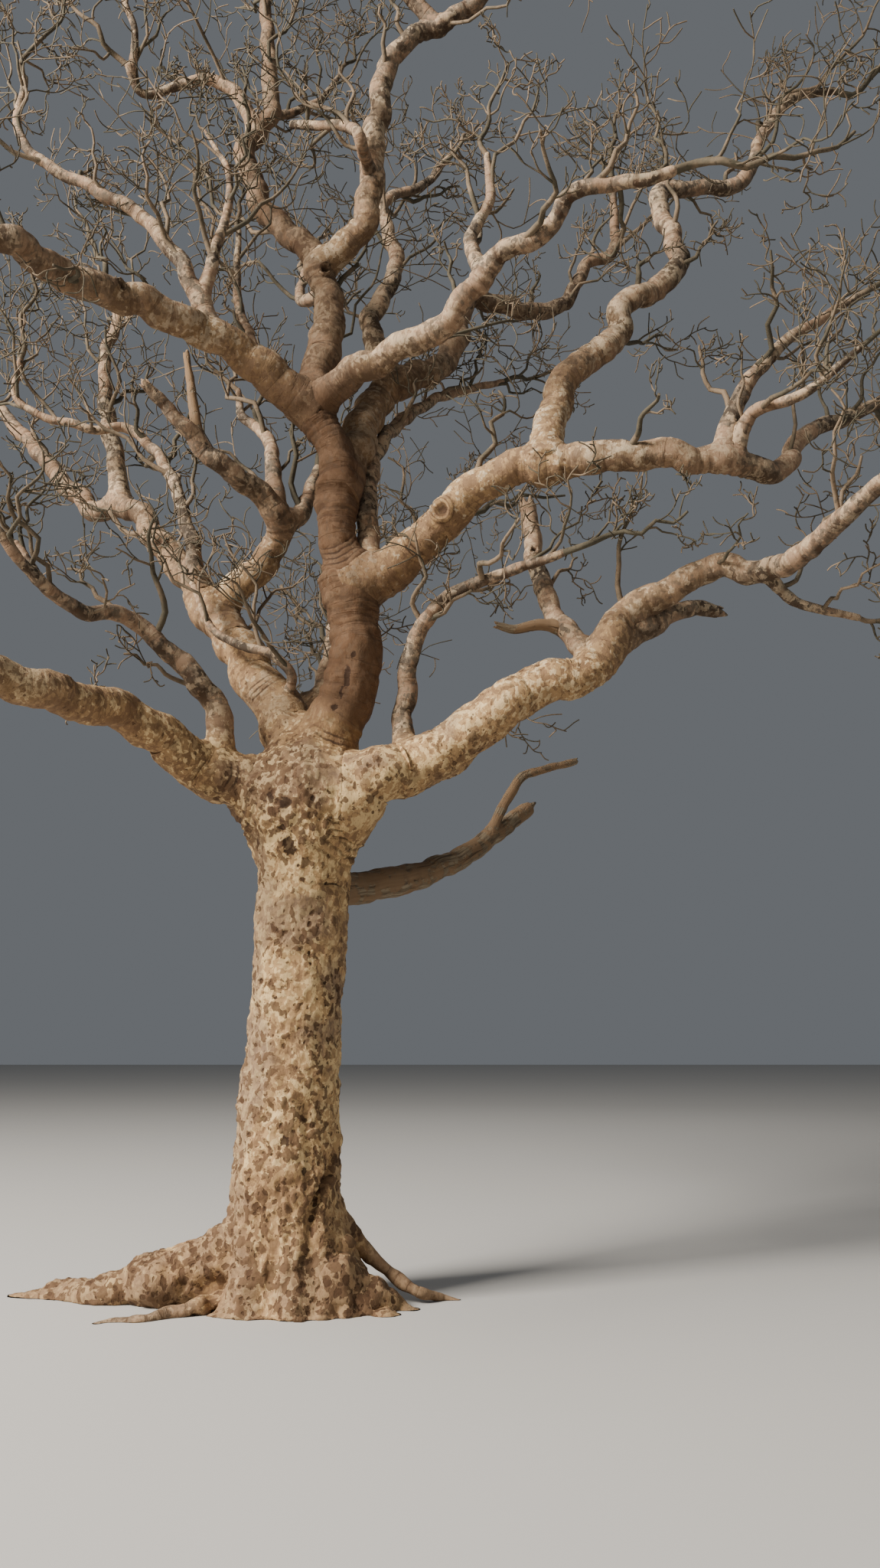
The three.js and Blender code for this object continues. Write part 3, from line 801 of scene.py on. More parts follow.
def limb_surface(wood: Wood, end: LimbEnd, side_length: float, key: int) -> Surface:
    """Wraps a skin round a piece of wood, with both ends closed.

    Args:
        wood: The wood.
        end: How its free end is finished.
        side_length: How long the sides of its rings are.
        key: Picks how it is broken.

    Returns:
        The skin.
    """
    around = 2 * math.pi * float(np.mean(wood.radii))
    sides = int(np.clip(round(around / side_length), *LIMB_SIDES))
    directions, first, second = frames_along(wood.line)
    angles = np.arange(sides) * 2 * math.pi / sides
    spokes = first[:, None] * np.cos(angles)[:, None] + second[:, None] * np.sin(angles)[:, None]
    rings = [wood.line[:, None] + wood.radii[:, None, None] * spokes]
    normals = [spokes]
    marks = [np.repeat(wood.marks[:, None], sides, axis=1)]
    widths = [np.repeat(wood.radii[:, None], sides, axis=1)]
    radius, tip, ahead = wood.radii[-1], wood.line[-1], directions[-1]
    jags = np.array([chance(key + 5, side // 2) - 0.4 for side in range(sides)])
    jags = 0.5 * jags + 0.25 * (np.roll(jags, 1) + np.roll(jags, -1))
    for ring in END_RINGS[end]:
        out = radius * (ring.out + JAG_DEPTH * ring.jag * jags)
        rings.append((tip + out[:, None] * ahead + radius * ring.width * spokes[-1])[None])
        lean = 0.0 if end is LimbEnd.BROKEN else ring.out
        normals.append(unit(spokes[-1] * ring.width + lean * ahead)[None])
        marks.append((wood.length + out)[None])
        widths.append(np.full((1, sides), radius * max(ring.width, 0.5)))
    rings, normals = np.concatenate(rings), np.concatenate(normals)
    marks, widths = np.concatenate(marks), np.concatenate(widths)
    turns = np.broadcast_to(angles, marks.shape)
    grain = np.stack([widths * np.cos(turns), widths * np.sin(turns), marks], -1)
    ends = Surface(np.array([wood.line[0], rings[-1].mean(axis=0)]), [],
                   np.array([-directions[0], ahead]), np.array([wood.radii[0], radius]),
                   np.array([[0, 0, 0], [0, 0, wood.length]]))
    return closed_skin(Surface(rings, [], normals, widths, grain), ends)


def trunk_surface(trunk: Trunk) -> Surface:
    """Wraps a skin round the trunk, from the flat cut at the ground to the top of its dome."""
    rise = np.sin(np.linspace(0.0, 0.5 * math.pi, trunk.dome_rows + 1))[1:-1]
    dome = trunk.height - trunk.dome_start
    heights = np.concatenate([np.linspace(0.0, trunk.dome_start, trunk.rows),
                              trunk.dome_start + dome * rise])
    shrink = np.concatenate([np.ones(trunk.rows), np.sqrt(1.0 - rise ** 2)])
    angles = np.arange(trunk.sides) * 360.0 / trunk.sides
    grid_height, grid_angle = np.meshgrid(heights, angles, indexing="ij")
    radii = trunk.radius(grid_height, grid_angle) * shrink[:, None]
    level = np.stack([np.cos(np.radians(grid_angle)), np.sin(np.radians(grid_angle)),
                      np.zeros_like(grid_angle)], -1)
    points = trunk.centre(heights)[:, None] + radii[..., None] * level
    normals = level.copy()
    normals[..., 2] = np.sqrt(1.0 - shrink ** 2)[:, None] * 2.0
    grain = np.stack([radii * level[..., 0], radii * level[..., 1], grid_height], -1)
    girth = trunk.radius(grid_height, grid_angle)
    ends = Surface(trunk.centre(np.array([0.0, trunk.height])), [],
                   np.array([[0, 0, -1], [0, 0, 1]]), np.full(2, CAP_GIRTH),
                   np.array([[0, 0, 0], [0, 0, trunk.height]]))
    return closed_skin(Surface(points, [], unit(normals), girth, grain), ends)


@dataclass(frozen=True)
class Neighbour:
    """Wood that another piece of wood meets.

    Attributes:
        wood: The neighbour.
        middle: Where the two meet.
        reach: How far from there they are fitted to each other.
        fillet: The width of the rounded corner between them.
        presses: How hard the neighbour's weight folds the bark under it, from 0 to 1.
    """

    wood: Wood | Trunk
    middle: Array
    reach: float
    fillet: float
    presses: float


FIT_ROUNDS = 5


def fit_forks(surface: Surface, neighbours: list[Neighbour]) -> None:
    """Swells a skin into rounded corners where it meets its neighbours.

    Args:
        surface: The skin, which is changed.
        neighbours: What it meets.
    """
    size = len(surface.points)
    swell, press = np.zeros(size), np.zeros(size)
    fold = np.ones(size)
    girth = surface.girth.copy()
    for other in neighbours:
        near = np.flatnonzero(
            np.linalg.norm(surface.points - other.middle, axis=1) < other.reach)
        if len(near) == 0:
            continue
        found = other.wood.nearness(surface.points[near])
        facing = np.sum(surface.normals[near] * found.away, axis=1)
        grown = np.zeros(len(near))
        for _ in range(FIT_ROUNDS):
            closeness = np.clip(1.0 - np.abs(grown - found.gap - facing * grown) / other.fillet,
                                0.0, 1.0)
            grown = 0.25 * other.fillet * closeness ** 2
        swell[near] = np.maximum(swell[near], grown)
        mix = 0.5 * np.clip(1.0 - np.abs(found.gap) / (1.5 * other.fillet), 0.0, 1.0)
        girth[near] += mix * (found.girth - girth[near])
        if other.presses > 0.0:
            pressed = other.presses * (smooth(-found.away[:, 2], -0.3, 0.6)
                       * (1.0 - smooth(found.gap, 0.06, 0.2)) * smooth(found.gap, -0.02, 0.01))
            stronger = pressed > press[near]
            press[near[stronger]] = pressed[stronger]
            fold[near[stronger]] = found.gap[stronger]
    surface.points += surface.normals * swell[:, None]
    surface.girth = girth
    surface.fold, surface.press = fold, press


@dataclass(frozen=True)
class Mark:
    """A knot, a dark scab, a stretch of groove painted dark as shade, or a fold in a known place.

    Attributes:
        limb: The limb that it is on.
        along: Its distance from the limb's base.
        heading: The heading that it faces.
        wide: Half its width, or for a fold how far it fades to either side.
        tall: Half its height.
        rise: The rise that it faces.
        sag: How much lower a fold lies in its middle.
    """

    limb: str
    along: float
    heading: float
    wide: float
    tall: float
    rise: float = 0.0
    sag: float = 0.0


def knot(limb: str, along: float, heading: float, rise: float, radius: float) -> Mark:
    """Plans the round scar of a lost branch."""
    return Mark(limb, along, heading, radius, radius, rise)


def marks_on(limb: str, *sizes: tuple[float, float, float, float]) -> tuple[Mark, ...]:
    """Plans several marks on one limb."""
    return tuple(Mark(limb, *size) for size in sizes)


KNOTS = (
    knot("right_arm", 0.8, 262, 5, 0.085), knot("low_riser", 1.1, 262, 10, 0.035),
    knot("left_low", 1.9, 300, 20, 0.05), knot("left_rear", 2.7, 250, 10, 0.06),
    knot("upper_left", 1.5, 290, 10, 0.045), knot("crown_stem", 1.2, 280, 0, 0.05),
    knot("rear_diagonal", 1.6, 100, 0, 0.06), knot("right_low", 2.6, 80, 20, 0.06),
    knot("trunk", 1.5, 120, 0, 0.09), knot("trunk", 2.0, 40, 0, 0.07),
)
# Dark scabs and stains, which are real, and four marks down the butt's cleft from 0.53 to 0.8 m that
# paint its groove dark as shade
STAINS_AND_GROOVE_SHADE = (
    *marks_on("trunk", (2.75, 260, 0.045, 0.085), (2.63, 270, 0.012, 0.014), (2.86, 253, 0.03, 0.025),
              (3.01, 257, 0.05, 0.04), (3.05, 243, 0.03, 0.05), (3.04, 282, 0.02, 0.025),
              (2.53, 309, 0.024, 0.012), (0.8, 327, 0.014, 0.06), (0.71, 320, 0.016, 0.06),
              (0.62, 313, 0.018, 0.06), (0.53, 306, 0.016, 0.05), (2.27, 287, 0.014, 0.02),
              (2.09, 287, 0.011, 0.016), (2.02, 289, 0.013, 0.018), (1.91, 309, 0.013, 0.014),
              (1.82, 250, 0.014, 0.014), (0.98, 275, 0.03, 0.035), (0.8, 296, 0.022, 0.03)),
    *marks_on("centre_stem", (0.93, 270, 0.026, 0.028), (0.79, 266, 0.023, 0.1),
              (0.67, 264, 0.014, 0.06), (0.57, 262, 0.026, 0.03)),
)
FOLDS = (
    Mark("centre_stem", 1.66, 255, 0.13, 0.1, sag=0.05),
    Mark("centre_stem", 0.34, 285, 0.12, 0.06, sag=0.01),
    Mark("trunk", 2.86, 322, 0.2, 0.075, sag=0.03), Mark("trunk", 2.53, 320, 0.11, 0.045),
    Mark("left_low", 0.5, 285, 0.1, 0.07, sag=0.03), Mark("left_rear", 0.9, 255, 0.12, 0.08, sag=0.03),
    Mark("right_arm", 0.45, 280, 0.1, 0.06, sag=0.02),
)
FAR_FROM_MARKS = 3.0
FOLD_EDGE = 0.03


def place_on(wood: Wood | Trunk, mark: Mark) -> Array:
    """Gives the point on a piece of wood's skin where a mark is."""
    along = np.array([mark.along])
    if isinstance(wood, Trunk):
        middle = wood.centre(along)[0]
        girth = float(wood.radius(along, np.array([mark.heading]))[0])
    else:
        middle = wood.spine.at(along)[0]
        girth = wood.radius(mark.along)
    return middle + girth * bearing(mark.heading, mark.rise)


def nearest_mark(surface: Surface, wood: Wood | Trunk, marks: tuple[Mark, ...]) -> Array:
    """Measures how far each point of a skin lies from the nearest of its limb's marks."""
    nearest = np.full(len(surface.points), FAR_FROM_MARKS)
    for mark in (one for one in marks if one.limb == wood.name):
        off = surface.points - place_on(wood, mark)
        apart = np.hypot(np.hypot(off[:, 0], off[:, 1]) / mark.wide, off[:, 2] / mark.tall)
        nearest = np.minimum(nearest, apart)
    return nearest


def mark_folds(surface: Surface, wood: Wood | Trunk) -> None:
    """Adds the known folds of a limb to those that its neighbours press into it."""
    for fold in (one for one in FOLDS if one.limb == wood.name):
        off = surface.points - place_on(wood, fold)
        ahead = wood.spine.at(np.array([fold.along - 0.05, fold.along + 0.05]))
        ahead = unit(ahead[1] - ahead[0])
        up = off @ ahead
        aside = np.linalg.norm(off - up[:, None] * ahead, axis=1) / fold.wide
        drop = up - fold.sag * (aside ** 2 - 0.5)
        pressed = np.exp(-aside ** 2) * smooth(fold.tall - np.abs(drop), 0.0, FOLD_EDGE)
        stronger = pressed > surface.press
        surface.press[stronger] = pressed[stronger]
        surface.fold[stronger] = drop[stronger]


def fit_and_mark(surface: Surface, wood: Wood | Trunk, neighbours: list[Neighbour]) -> None:
    """Fits a skin to what it meets, and finds its folds, knots, stains and the painted shade down the
    butt's cleft.
    """
    fit_forks(surface, neighbours)
    mark_folds(surface, wood)
    surface.knot = nearest_mark(surface, wood, KNOTS)
    surface.stain = nearest_mark(surface, wood, STAINS_AND_GROOVE_SHADE)


# Node trees, written as expressions

class Term:
    """A socket that takes part in sums written as Python expressions."""

    def __init__(self, graph: "Graph", socket: bpy.types.NodeSocket) -> None:
        """Wraps a socket of a graph."""
        self.graph = graph
        self.socket = socket

    @property
    def many(self) -> bool:
        """Whether the socket carries a vector or a colour."""
        return self.socket.type in {"VECTOR", "RGBA"}

    def paired(self, operation: str, first: "Value", second: "Value") -> "Term":
        """Adds a Math node, or a Vector Math node where this is a vector."""
        return (self.graph.vectors if self.many else self.graph.maths)(operation, first, second)

    def __add__(self, other: "Value") -> "Term":
        """Adds."""
        return self.paired("ADD", self, other)

    def __radd__(self, other: "Value") -> "Term":
        """Adds, from the right."""
        return self.paired("ADD", other, self)

    def __sub__(self, other: "Value") -> "Term":
        """Takes away."""
        return self.paired("SUBTRACT", self, other)

    def __rsub__(self, other: "Value") -> "Term":
        """Takes away, from the right."""
        return self.paired("SUBTRACT", other, self)

    def __mul__(self, other: "Value") -> "Term":
        """Multiplies: a number scales a vector, and a vector goes part by part."""
        if self.many and not isinstance(other, tuple) and not getattr(other, "many", False):
            return self.graph.node("ShaderNodeVectorMath", {"operation": "SCALE"},
                                   {0: self, "Scale": other})[0]
        return self.paired("MULTIPLY", self, other)

    def __rmul__(self, other: "Value") -> "Term":
        """Multiplies, from the right."""
        return self * other

    def __truediv__(self, other: "Value") -> "Term":
        """Divides."""
        return self.paired("DIVIDE", self, other)

    def sine(self) -> "Term":
        """Takes the sine."""
        return self.graph.maths("SINE", self)

    def at_least(self, least: float) -> "Term":
        """Raises what is lower to the least."""
        return self.graph.maths("MAXIMUM", self, least)

    def clamped(self) -> "Term":
        """Keeps it from 0 to 1."""
        return self.graph.maths("ADD", self, 0.0, clamp=True)

    def part(self, axis: int) -> "Term":
        """Picks one part of a vector or colour."""
        return self.graph.node("ShaderNodeVectorMath", {"operation": "DOT_PRODUCT"},
                               {0: self, 1: tuple(float(one == axis) for one in range(3))})[1]

    def eased(self, low: "Value", high: "Value") -> "Term":
        """Eases it from 0 at low to 1 at high, or from 1 to 0 where low is the higher."""
        return self.graph.node("ShaderNodeMapRange", {"interpolation_type": "SMOOTHSTEP"},
                               {"Value": self, "From Min": low, "From Max": high})[0]


Value = Term | float | int | tuple[float, ...]


class Graph:
    """A node tree under construction."""

    def __init__(self, tree: bpy.types.NodeTree) -> None:
        """Starts on a tree."""
        self.tree = tree

    def node(self, kind: str, settings: dict[str, object] | None = None,
             inputs: dict[int | str, object] | None = None) -> list[Term]:
        """Adds a node.

        Args:
            kind: The node's type.
            settings: Its settings, which are set first.
            inputs: The values or links of its sockets, by place, identifier or name.

        Returns:
            Its outputs.
        """
        made = self.tree.nodes.new(kind)
        for name, value in (settings or {}).items():
            setattr(made, name, value)
        by_identifier = {socket.identifier: socket for socket in made.inputs}
        for name, value in (inputs or {}).items():
            socket = by_identifier.get(name) or made.inputs[name]
            if isinstance(value, Term):
                self.tree.links.new(value.socket, socket)
            elif socket.type == "RGBA" and len(value) == 3:
                socket.default_value = (*value, 1.0)
            else:
                socket.default_value = value
        return [Term(self, socket) for socket in made.outputs]

    def maths(self, operation: str, *values: Value, clamp: bool = False) -> Term:
        """Adds a Math node."""
        return self.node("ShaderNodeMath", {"operation": operation, "use_clamp": clamp},
                         dict(enumerate(values)))[0]

    def vectors(self, operation: str, *values: Value) -> Term:
        """Adds a Vector Math node."""
        return self.node("ShaderNodeVectorMath", {"operation": operation},
                         dict(enumerate(values)))[0]

    def read(self, name: str, vector: bool = False) -> Term:
        """Reads a number, or a vector, that the mesh holds for each point."""
        if self.tree.bl_idname == "ShaderNodeTree":
            return self.node("ShaderNodeAttribute", {"attribute_name": name})[1 if vector else 2]
        kind = {"data_type": "FLOAT_VECTOR" if vector else "FLOAT"}
        return self.node("GeometryNodeInputNamedAttribute", kind, {"Name": name})[0]

    def noise(self, place: Term, scale: float, detail: float = 2.0,
              roughness: float = 0.5) -> Term:
        """Adds noise of a scale, in waves a metre."""
        return self.node("ShaderNodeTexNoise", {}, {
            "Vector": place, "Scale": scale, "Detail": detail, "Roughness": roughness})[0]

    def stray(self, place: Term, scale: float, detail: float) -> Term:
        """Adds a vector that strays about nothing, in waves of a scale."""
        return self.node("ShaderNodeTexNoise", {}, {
            "Vector": place, "Scale": scale, "Detail": detail})[1] - (0.5, 0.5, 0.5)

    def cells(self, place: Term, scale: float) -> list[Term]:
        """Adds cells of a scale: the distance from their middles, and a colour for each."""
        return self.node("ShaderNodeTexVoronoi", {}, {"Vector": place, "Scale": scale})

    def mixed(self, share: Value, first: Value, second: Value) -> Term:
        """Mixes two colours."""
        return self.node("ShaderNodeMix", {"data_type": "RGBA"}, {
            "Factor_Float": share, "A_Color": first, "B_Color": second})[2]

    def coated(self, ground: Value, *coats: tuple[Term, Value]) -> Term:
        """Lays coats over a ground, each a share and a colour."""
        for share, colour in coats:
            ground = self.mixed(share, ground, colour)
        return ground


FOLD_WAVES = 150.0
FOLD_STRAY = 5.0
FRAYED_EDGE = 1.8
KNOT_RINGS = 22.0


class BarkPattern:
    """The pattern that the bark's colour and its relief share.

    Attributes:
        age: How old the bark is, from 0 on a twig to 1 on the trunk.
        zones: Broad light and dark stretches.
        blotches: Blotches the width of a hand.
        flakes: A number for each flake.
        flecks: Finer mottling.
        patches: Where old bark still lies on in brown scales.
        lichen: Broad stretches with a greyer skin, with more of them on the trunk's west side below the
            fork, where they are painted shade.
        pits: Where the round dark scabs are.
        specks: Where the small ones are.
        crest: How near it is to the left of the trunk's fork, where more old scales lie.
        rings: Fine creases across a young limb.
        joints: The swellings along a young limb, from -1 to 1.
        stain: Where the known stains are, and the painted shade down the butt's cleft, with frayed edges.
        folds: The waves of folded bark, from -1 to 1.
        press: How hard the bark is folded.
        knot: The distance from the nearest knot's middle, in knot radii.
        knot_rings: The rings round that, from -1 to 1.
    """

    def __init__(self, graph: Graph, place: Term) -> None:
        """Adds the pattern's nodes to a graph, for a place on the tree."""
        age = self.age = graph.read("age")
        grain = graph.read("grain", vector=True)
        warped = place + graph.stray(place, 9.0, 3.0) * 0.07
        scaly = (warped + graph.stray(place, 44.0, 2.0) * 0.03) * (1.0, 1.0, 0.78)
        low = 1.0 - place.part(2).eased(0.2, 1.6)
        self.zones = graph.noise(place, 1.9, 3.0, 0.55)
        self.blotches = graph.noise(warped, 13.0, 4.0, 0.62)
        self.flakes = graph.cells(scaly, 36.0)[1].part(0)
        self.flecks = graph.noise(warped * (1.0, 1.0, 0.7), 46.0, 3.0, 0.6)
        crowd = graph.noise(place, 3.1, 2.0, 0.6)
        scales = graph.cells(scaly, 27.0)[1].part(1)
        level = place.part(2).eased(2.55, 2.85) * (1.0 - place.part(2).eased(3.4, 3.8))
        self.crest = level * (1.0 - place.part(0).eased(0.02, 0.3)) * age
        cover = scales * 0.75 + self.blotches * 0.5 + crowd * 0.6 + low * 0.19 + self.crest * 0.17
        self.patches = cover.eased(1.2, 1.23) * age
        # Greyer bark on the trunk's west side below the fork: painted shade
        shaded_west_side = (place.part(0) * -1.0).eased(0.1, 0.3) * (1.0 - place.part(2).eased(2.4, 3.2))
        self.lichen = (graph.noise(place, 1.5, 3.0, 0.55) + shaded_west_side * 0.14).eased(0.5, 0.6) * age
        pit = graph.cells(scaly, 19.0)
        size = crowd * 1.1 + pit[1].part(0) * 0.5 + low * 0.16 + self.crest * 0.1 - 0.7
        size = size.at_least(0.0) * age
        self.pits = ((size - pit[0]) * 16.0).clamped()
        speck = graph.cells(warped * (1.0, 1.0, 0.8), 33.0)
        dot = (crowd + speck[1].part(2) * 0.5 + low * 0.1 - 0.68).at_least(0.0) * age
        self.specks = ((dot - speck[0]) * 8.0).clamped()
        ripple = graph.noise(grain * (3.0, 3.0, 34.0), 1.0, 3.0, 0.6)
        self.rings = ripple.eased(0.54, 0.64) * (1.0 - age * 0.85)
        along = (grain.part(2) + graph.noise(place, 3.5, 2.0) * 0.16) * 44.0
        self.joints = along.sine() * graph.noise(place, 2.3, 1.0).eased(0.35, 0.6)
        frayed = graph.read("stain") + graph.noise(place, 30.0, 3.0, 0.6) * FRAYED_EDGE
        self.stain = frayed.eased(1.85, 1.65)
        crumpled = graph.noise(place, 11.0, 2.0) * FOLD_STRAY
        self.folds = (graph.read("fold") * FOLD_WAVES + crumpled).sine()
        self.press, self.knot = graph.read("press"), graph.read("knot")
        self.knot_rings = (self.knot * KNOT_RINGS).sine()


# Relief and twigs, by geometry nodes

class NodeShape:
    """A geometry-node tree with named sizes, which turns a plain mesh into a finished one."""

    title = "shape"
    sizes: dict[str, float] = {}

    def __init__(self) -> None:
        """Builds the tree."""
        self.tree = bpy.data.node_groups.new(self.title, "GeometryNodeTree")
        self.graph = Graph(self.tree)
        face = self.tree.interface
        face.new_socket("Geometry", in_out="INPUT", socket_type="NodeSocketGeometry")
        for name in self.sizes:
            face.new_socket(name, in_out="INPUT", socket_type="NodeSocketFloat")
        face.new_socket("Material", in_out="INPUT", socket_type="NodeSocketMaterial")
        face.new_socket("Geometry", in_out="OUTPUT", socket_type="NodeSocketGeometry")
        terms = self.graph.node("NodeGroupInput")
        self.size = dict(zip(self.sizes, terms[1:]))
        shaped = self.shaped(terms[0])
        whole = self.graph.node("GeometryNodeRealizeInstances", {}, {"Geometry": shaped})[0]
        dressed = self.graph.node("GeometryNodeSetMaterial", {}, {
            "Geometry": whole, "Material": terms[1 + len(self.sizes)]})[0]
        self.graph.node("NodeGroupOutput", {}, {"Geometry": dressed})

    def shaped(self, geometry: Term) -> Term:
        """Adds the nodes that change the mesh."""
        raise NotImplementedError

    def finish(self, piece: Object, material: Material) -> None:
        """Runs the tree on a piece, dresses it in a material, and leaves it a plain mesh."""
        modifier = piece.modifiers.new(self.title, "NODES")
        modifier.node_group = self.tree
        for item in self.tree.interface.items_tree:
            if item.in_out == "INPUT" and item.name in self.sizes:
                modifier[item.identifier] = self.sizes[item.name]
            elif item.in_out == "INPUT" and item.name == "Material":
                modifier[item.identifier] = material
        graph = bpy.context.evaluated_depsgraph_get()
        made = bpy.data.meshes.new_from_object(piece.evaluated_get(graph))
        piece.modifiers.remove(modifier)
        plain, piece.data = piece.data, made
        made.name = piece.name
        bpy.data.meshes.remove(plain)


class BarkRelief(NodeShape):
    """Lumps, flakes, pits, pressed folds and knots, raised on a skin of wood."""

    title = "bark_relief"
    sizes = {"Lump Share": 0.36, "Knobble Share": 0.2, "Joint Share": 0.055, "Butt Height": 0.12,
             "Flake Height": 0.004, "Scale Height": 0.004, "Pit Depth": 0.009,
             "Crease Depth": 0.002, "Fold Depth": 0.018, "Knot Height": 0.024,
             "Grit Height": 0.0035}

    def shaped(self, geometry: Term) -> Term:
        """Adds the nodes that push the skin in and out."""
        graph, size = self.graph, self.size
        place = graph.node("GeometryNodeInputPosition")[0]
        out = graph.node("GeometryNodeInputNormal")[0]
        bark, girth = BarkPattern(graph, place), graph.read("girth")
        age, knot = bark.age, bark.knot
        lobes = graph.noise(place * (1.0, 1.0, 0.3), 5.5, 3.0, 0.55) - 0.5
        rim = (1.0 - (knot - 0.8) * (knot - 0.8) * 10.0).at_least(0.0)
        ridges = bark.knot_rings * knot.eased(1.3, 1.0) * 0.2
        worn = bark.pits * 0.35 + bark.specks * 0.3 + bark.stain * 0.8
        raised = (
            (graph.noise(place, 2.6, 2.0) - 0.5) * girth * size["Lump Share"],
            (graph.noise(place, 9.0, 2.0) - 0.5) * girth * size["Knobble Share"],
            bark.joints * girth * (1.0 - age) * size["Joint Share"],
            lobes * graph.maths("EXPONENT", place.part(2) * -1.7) * age * size["Butt Height"],
            (bark.flakes - 0.5) * age * size["Flake Height"],
            bark.patches * size["Scale Height"],
            (graph.noise(place, 42.0, 2.0) - 0.5) * size["Grit Height"],
            (rim - knot.eased(0.6, 0.1) * 1.3 + ridges) * size["Knot Height"])
        sunk = (
            worn.clamped() * size["Pit Depth"],
            bark.rings * size["Crease Depth"],
            bark.press * (bark.folds * 0.5 + 0.5) * size["Fold Depth"])
        height = sum(raised) - sum(sunk)
        moved = graph.node("GeometryNodeSetPosition", {}, {
            "Geometry": geometry, "Offset": out * height})[0]
        return graph.node("GeometryNodeSetShadeSmooth", {}, {"Geometry": moved})[0]


class TwigTubes(NodeShape):
    """Round twigs along chains of points: many-sided where stout, three-sided where fine."""

    title = "twig_tubes"
    sizes = {"Stout Sides": 7.0, "Fine Sides": 3.0}

    def shaped(self, geometry: Term) -> Term:
        """Adds the nodes that turn chains into tubes."""
        graph = self.graph
        lines = graph.node("GeometryNodeMeshToCurve", {}, {"Mesh": geometry})[0]
        stout, fine = graph.node("GeometryNodeSeparateGeometry", {"domain": "CURVE"}, {
            "Geometry": lines, "Selection": graph.read("stout")})
        joined = graph.node("GeometryNodeJoinGeometry")[0]
        for lines, sides in ((fine, "Fine Sides"), (stout, "Stout Sides")):
            tube = self.tubed(lines, self.size[sides])
            graph.tree.links.new(tube.socket, joined.socket.node.inputs[0])
        return graph.node("GeometryNodeSetShadeSmooth", {}, {"Geometry": joined})[0]

    def tubed(self, lines: Term, sides: Term) -> Term:
        """Sweeps a circle along the lines, as wide as their radius says."""
        circle = self.graph.node("GeometryNodeCurvePrimitiveCircle", {}, {"Resolution": sides})[0]
        return self.graph.node("GeometryNodeCurveToMesh", {}, {
            "Curve": lines, "Profile Curve": circle, "Scale": self.graph.read("radius"),
            "Fill Caps": True})[0]


# Finishes

def tone(red: int, green: int, blue: int) -> Colour:
    """Turns a screen colour into a scene colour."""
    return tuple((part / 255) ** 2.2 for part in (red, green, blue))


class Finish:
    """A finish, made once as a material."""

    title = "finish"

    def material(self) -> Material:
        """Makes the material."""
        made = bpy.data.materials.new(self.title)
        made.use_nodes = True
        made.node_tree.nodes.clear()
        graph = Graph(made.node_tree)
        place = graph.node("ShaderNodeTexCoord")[3]
        colour, roughness, height, depth = self.layers(graph, place)
        normal = graph.node("ShaderNodeBump", {}, {
            "Strength": 1.0, "Distance": depth, "Height": height})[0]
        shader = graph.node("ShaderNodeBsdfPrincipled", {}, {
            "Base Color": colour, "Roughness": roughness, "Normal": normal,
            "Specular IOR Level": 0.25})[0]
        graph.node("ShaderNodeOutputMaterial", {}, {"Surface": shader})
        return made

    def layers(self, graph: Graph, place: Term) -> tuple[Term, Value, Term, float]:
        """Adds the finish's own nodes.

        Args:
            graph: Where they are added.
            place: The place on the tree.

        Returns:
            The colour, the roughness, the height of the fine relief, and how deep that is.
        """
        raise NotImplementedError


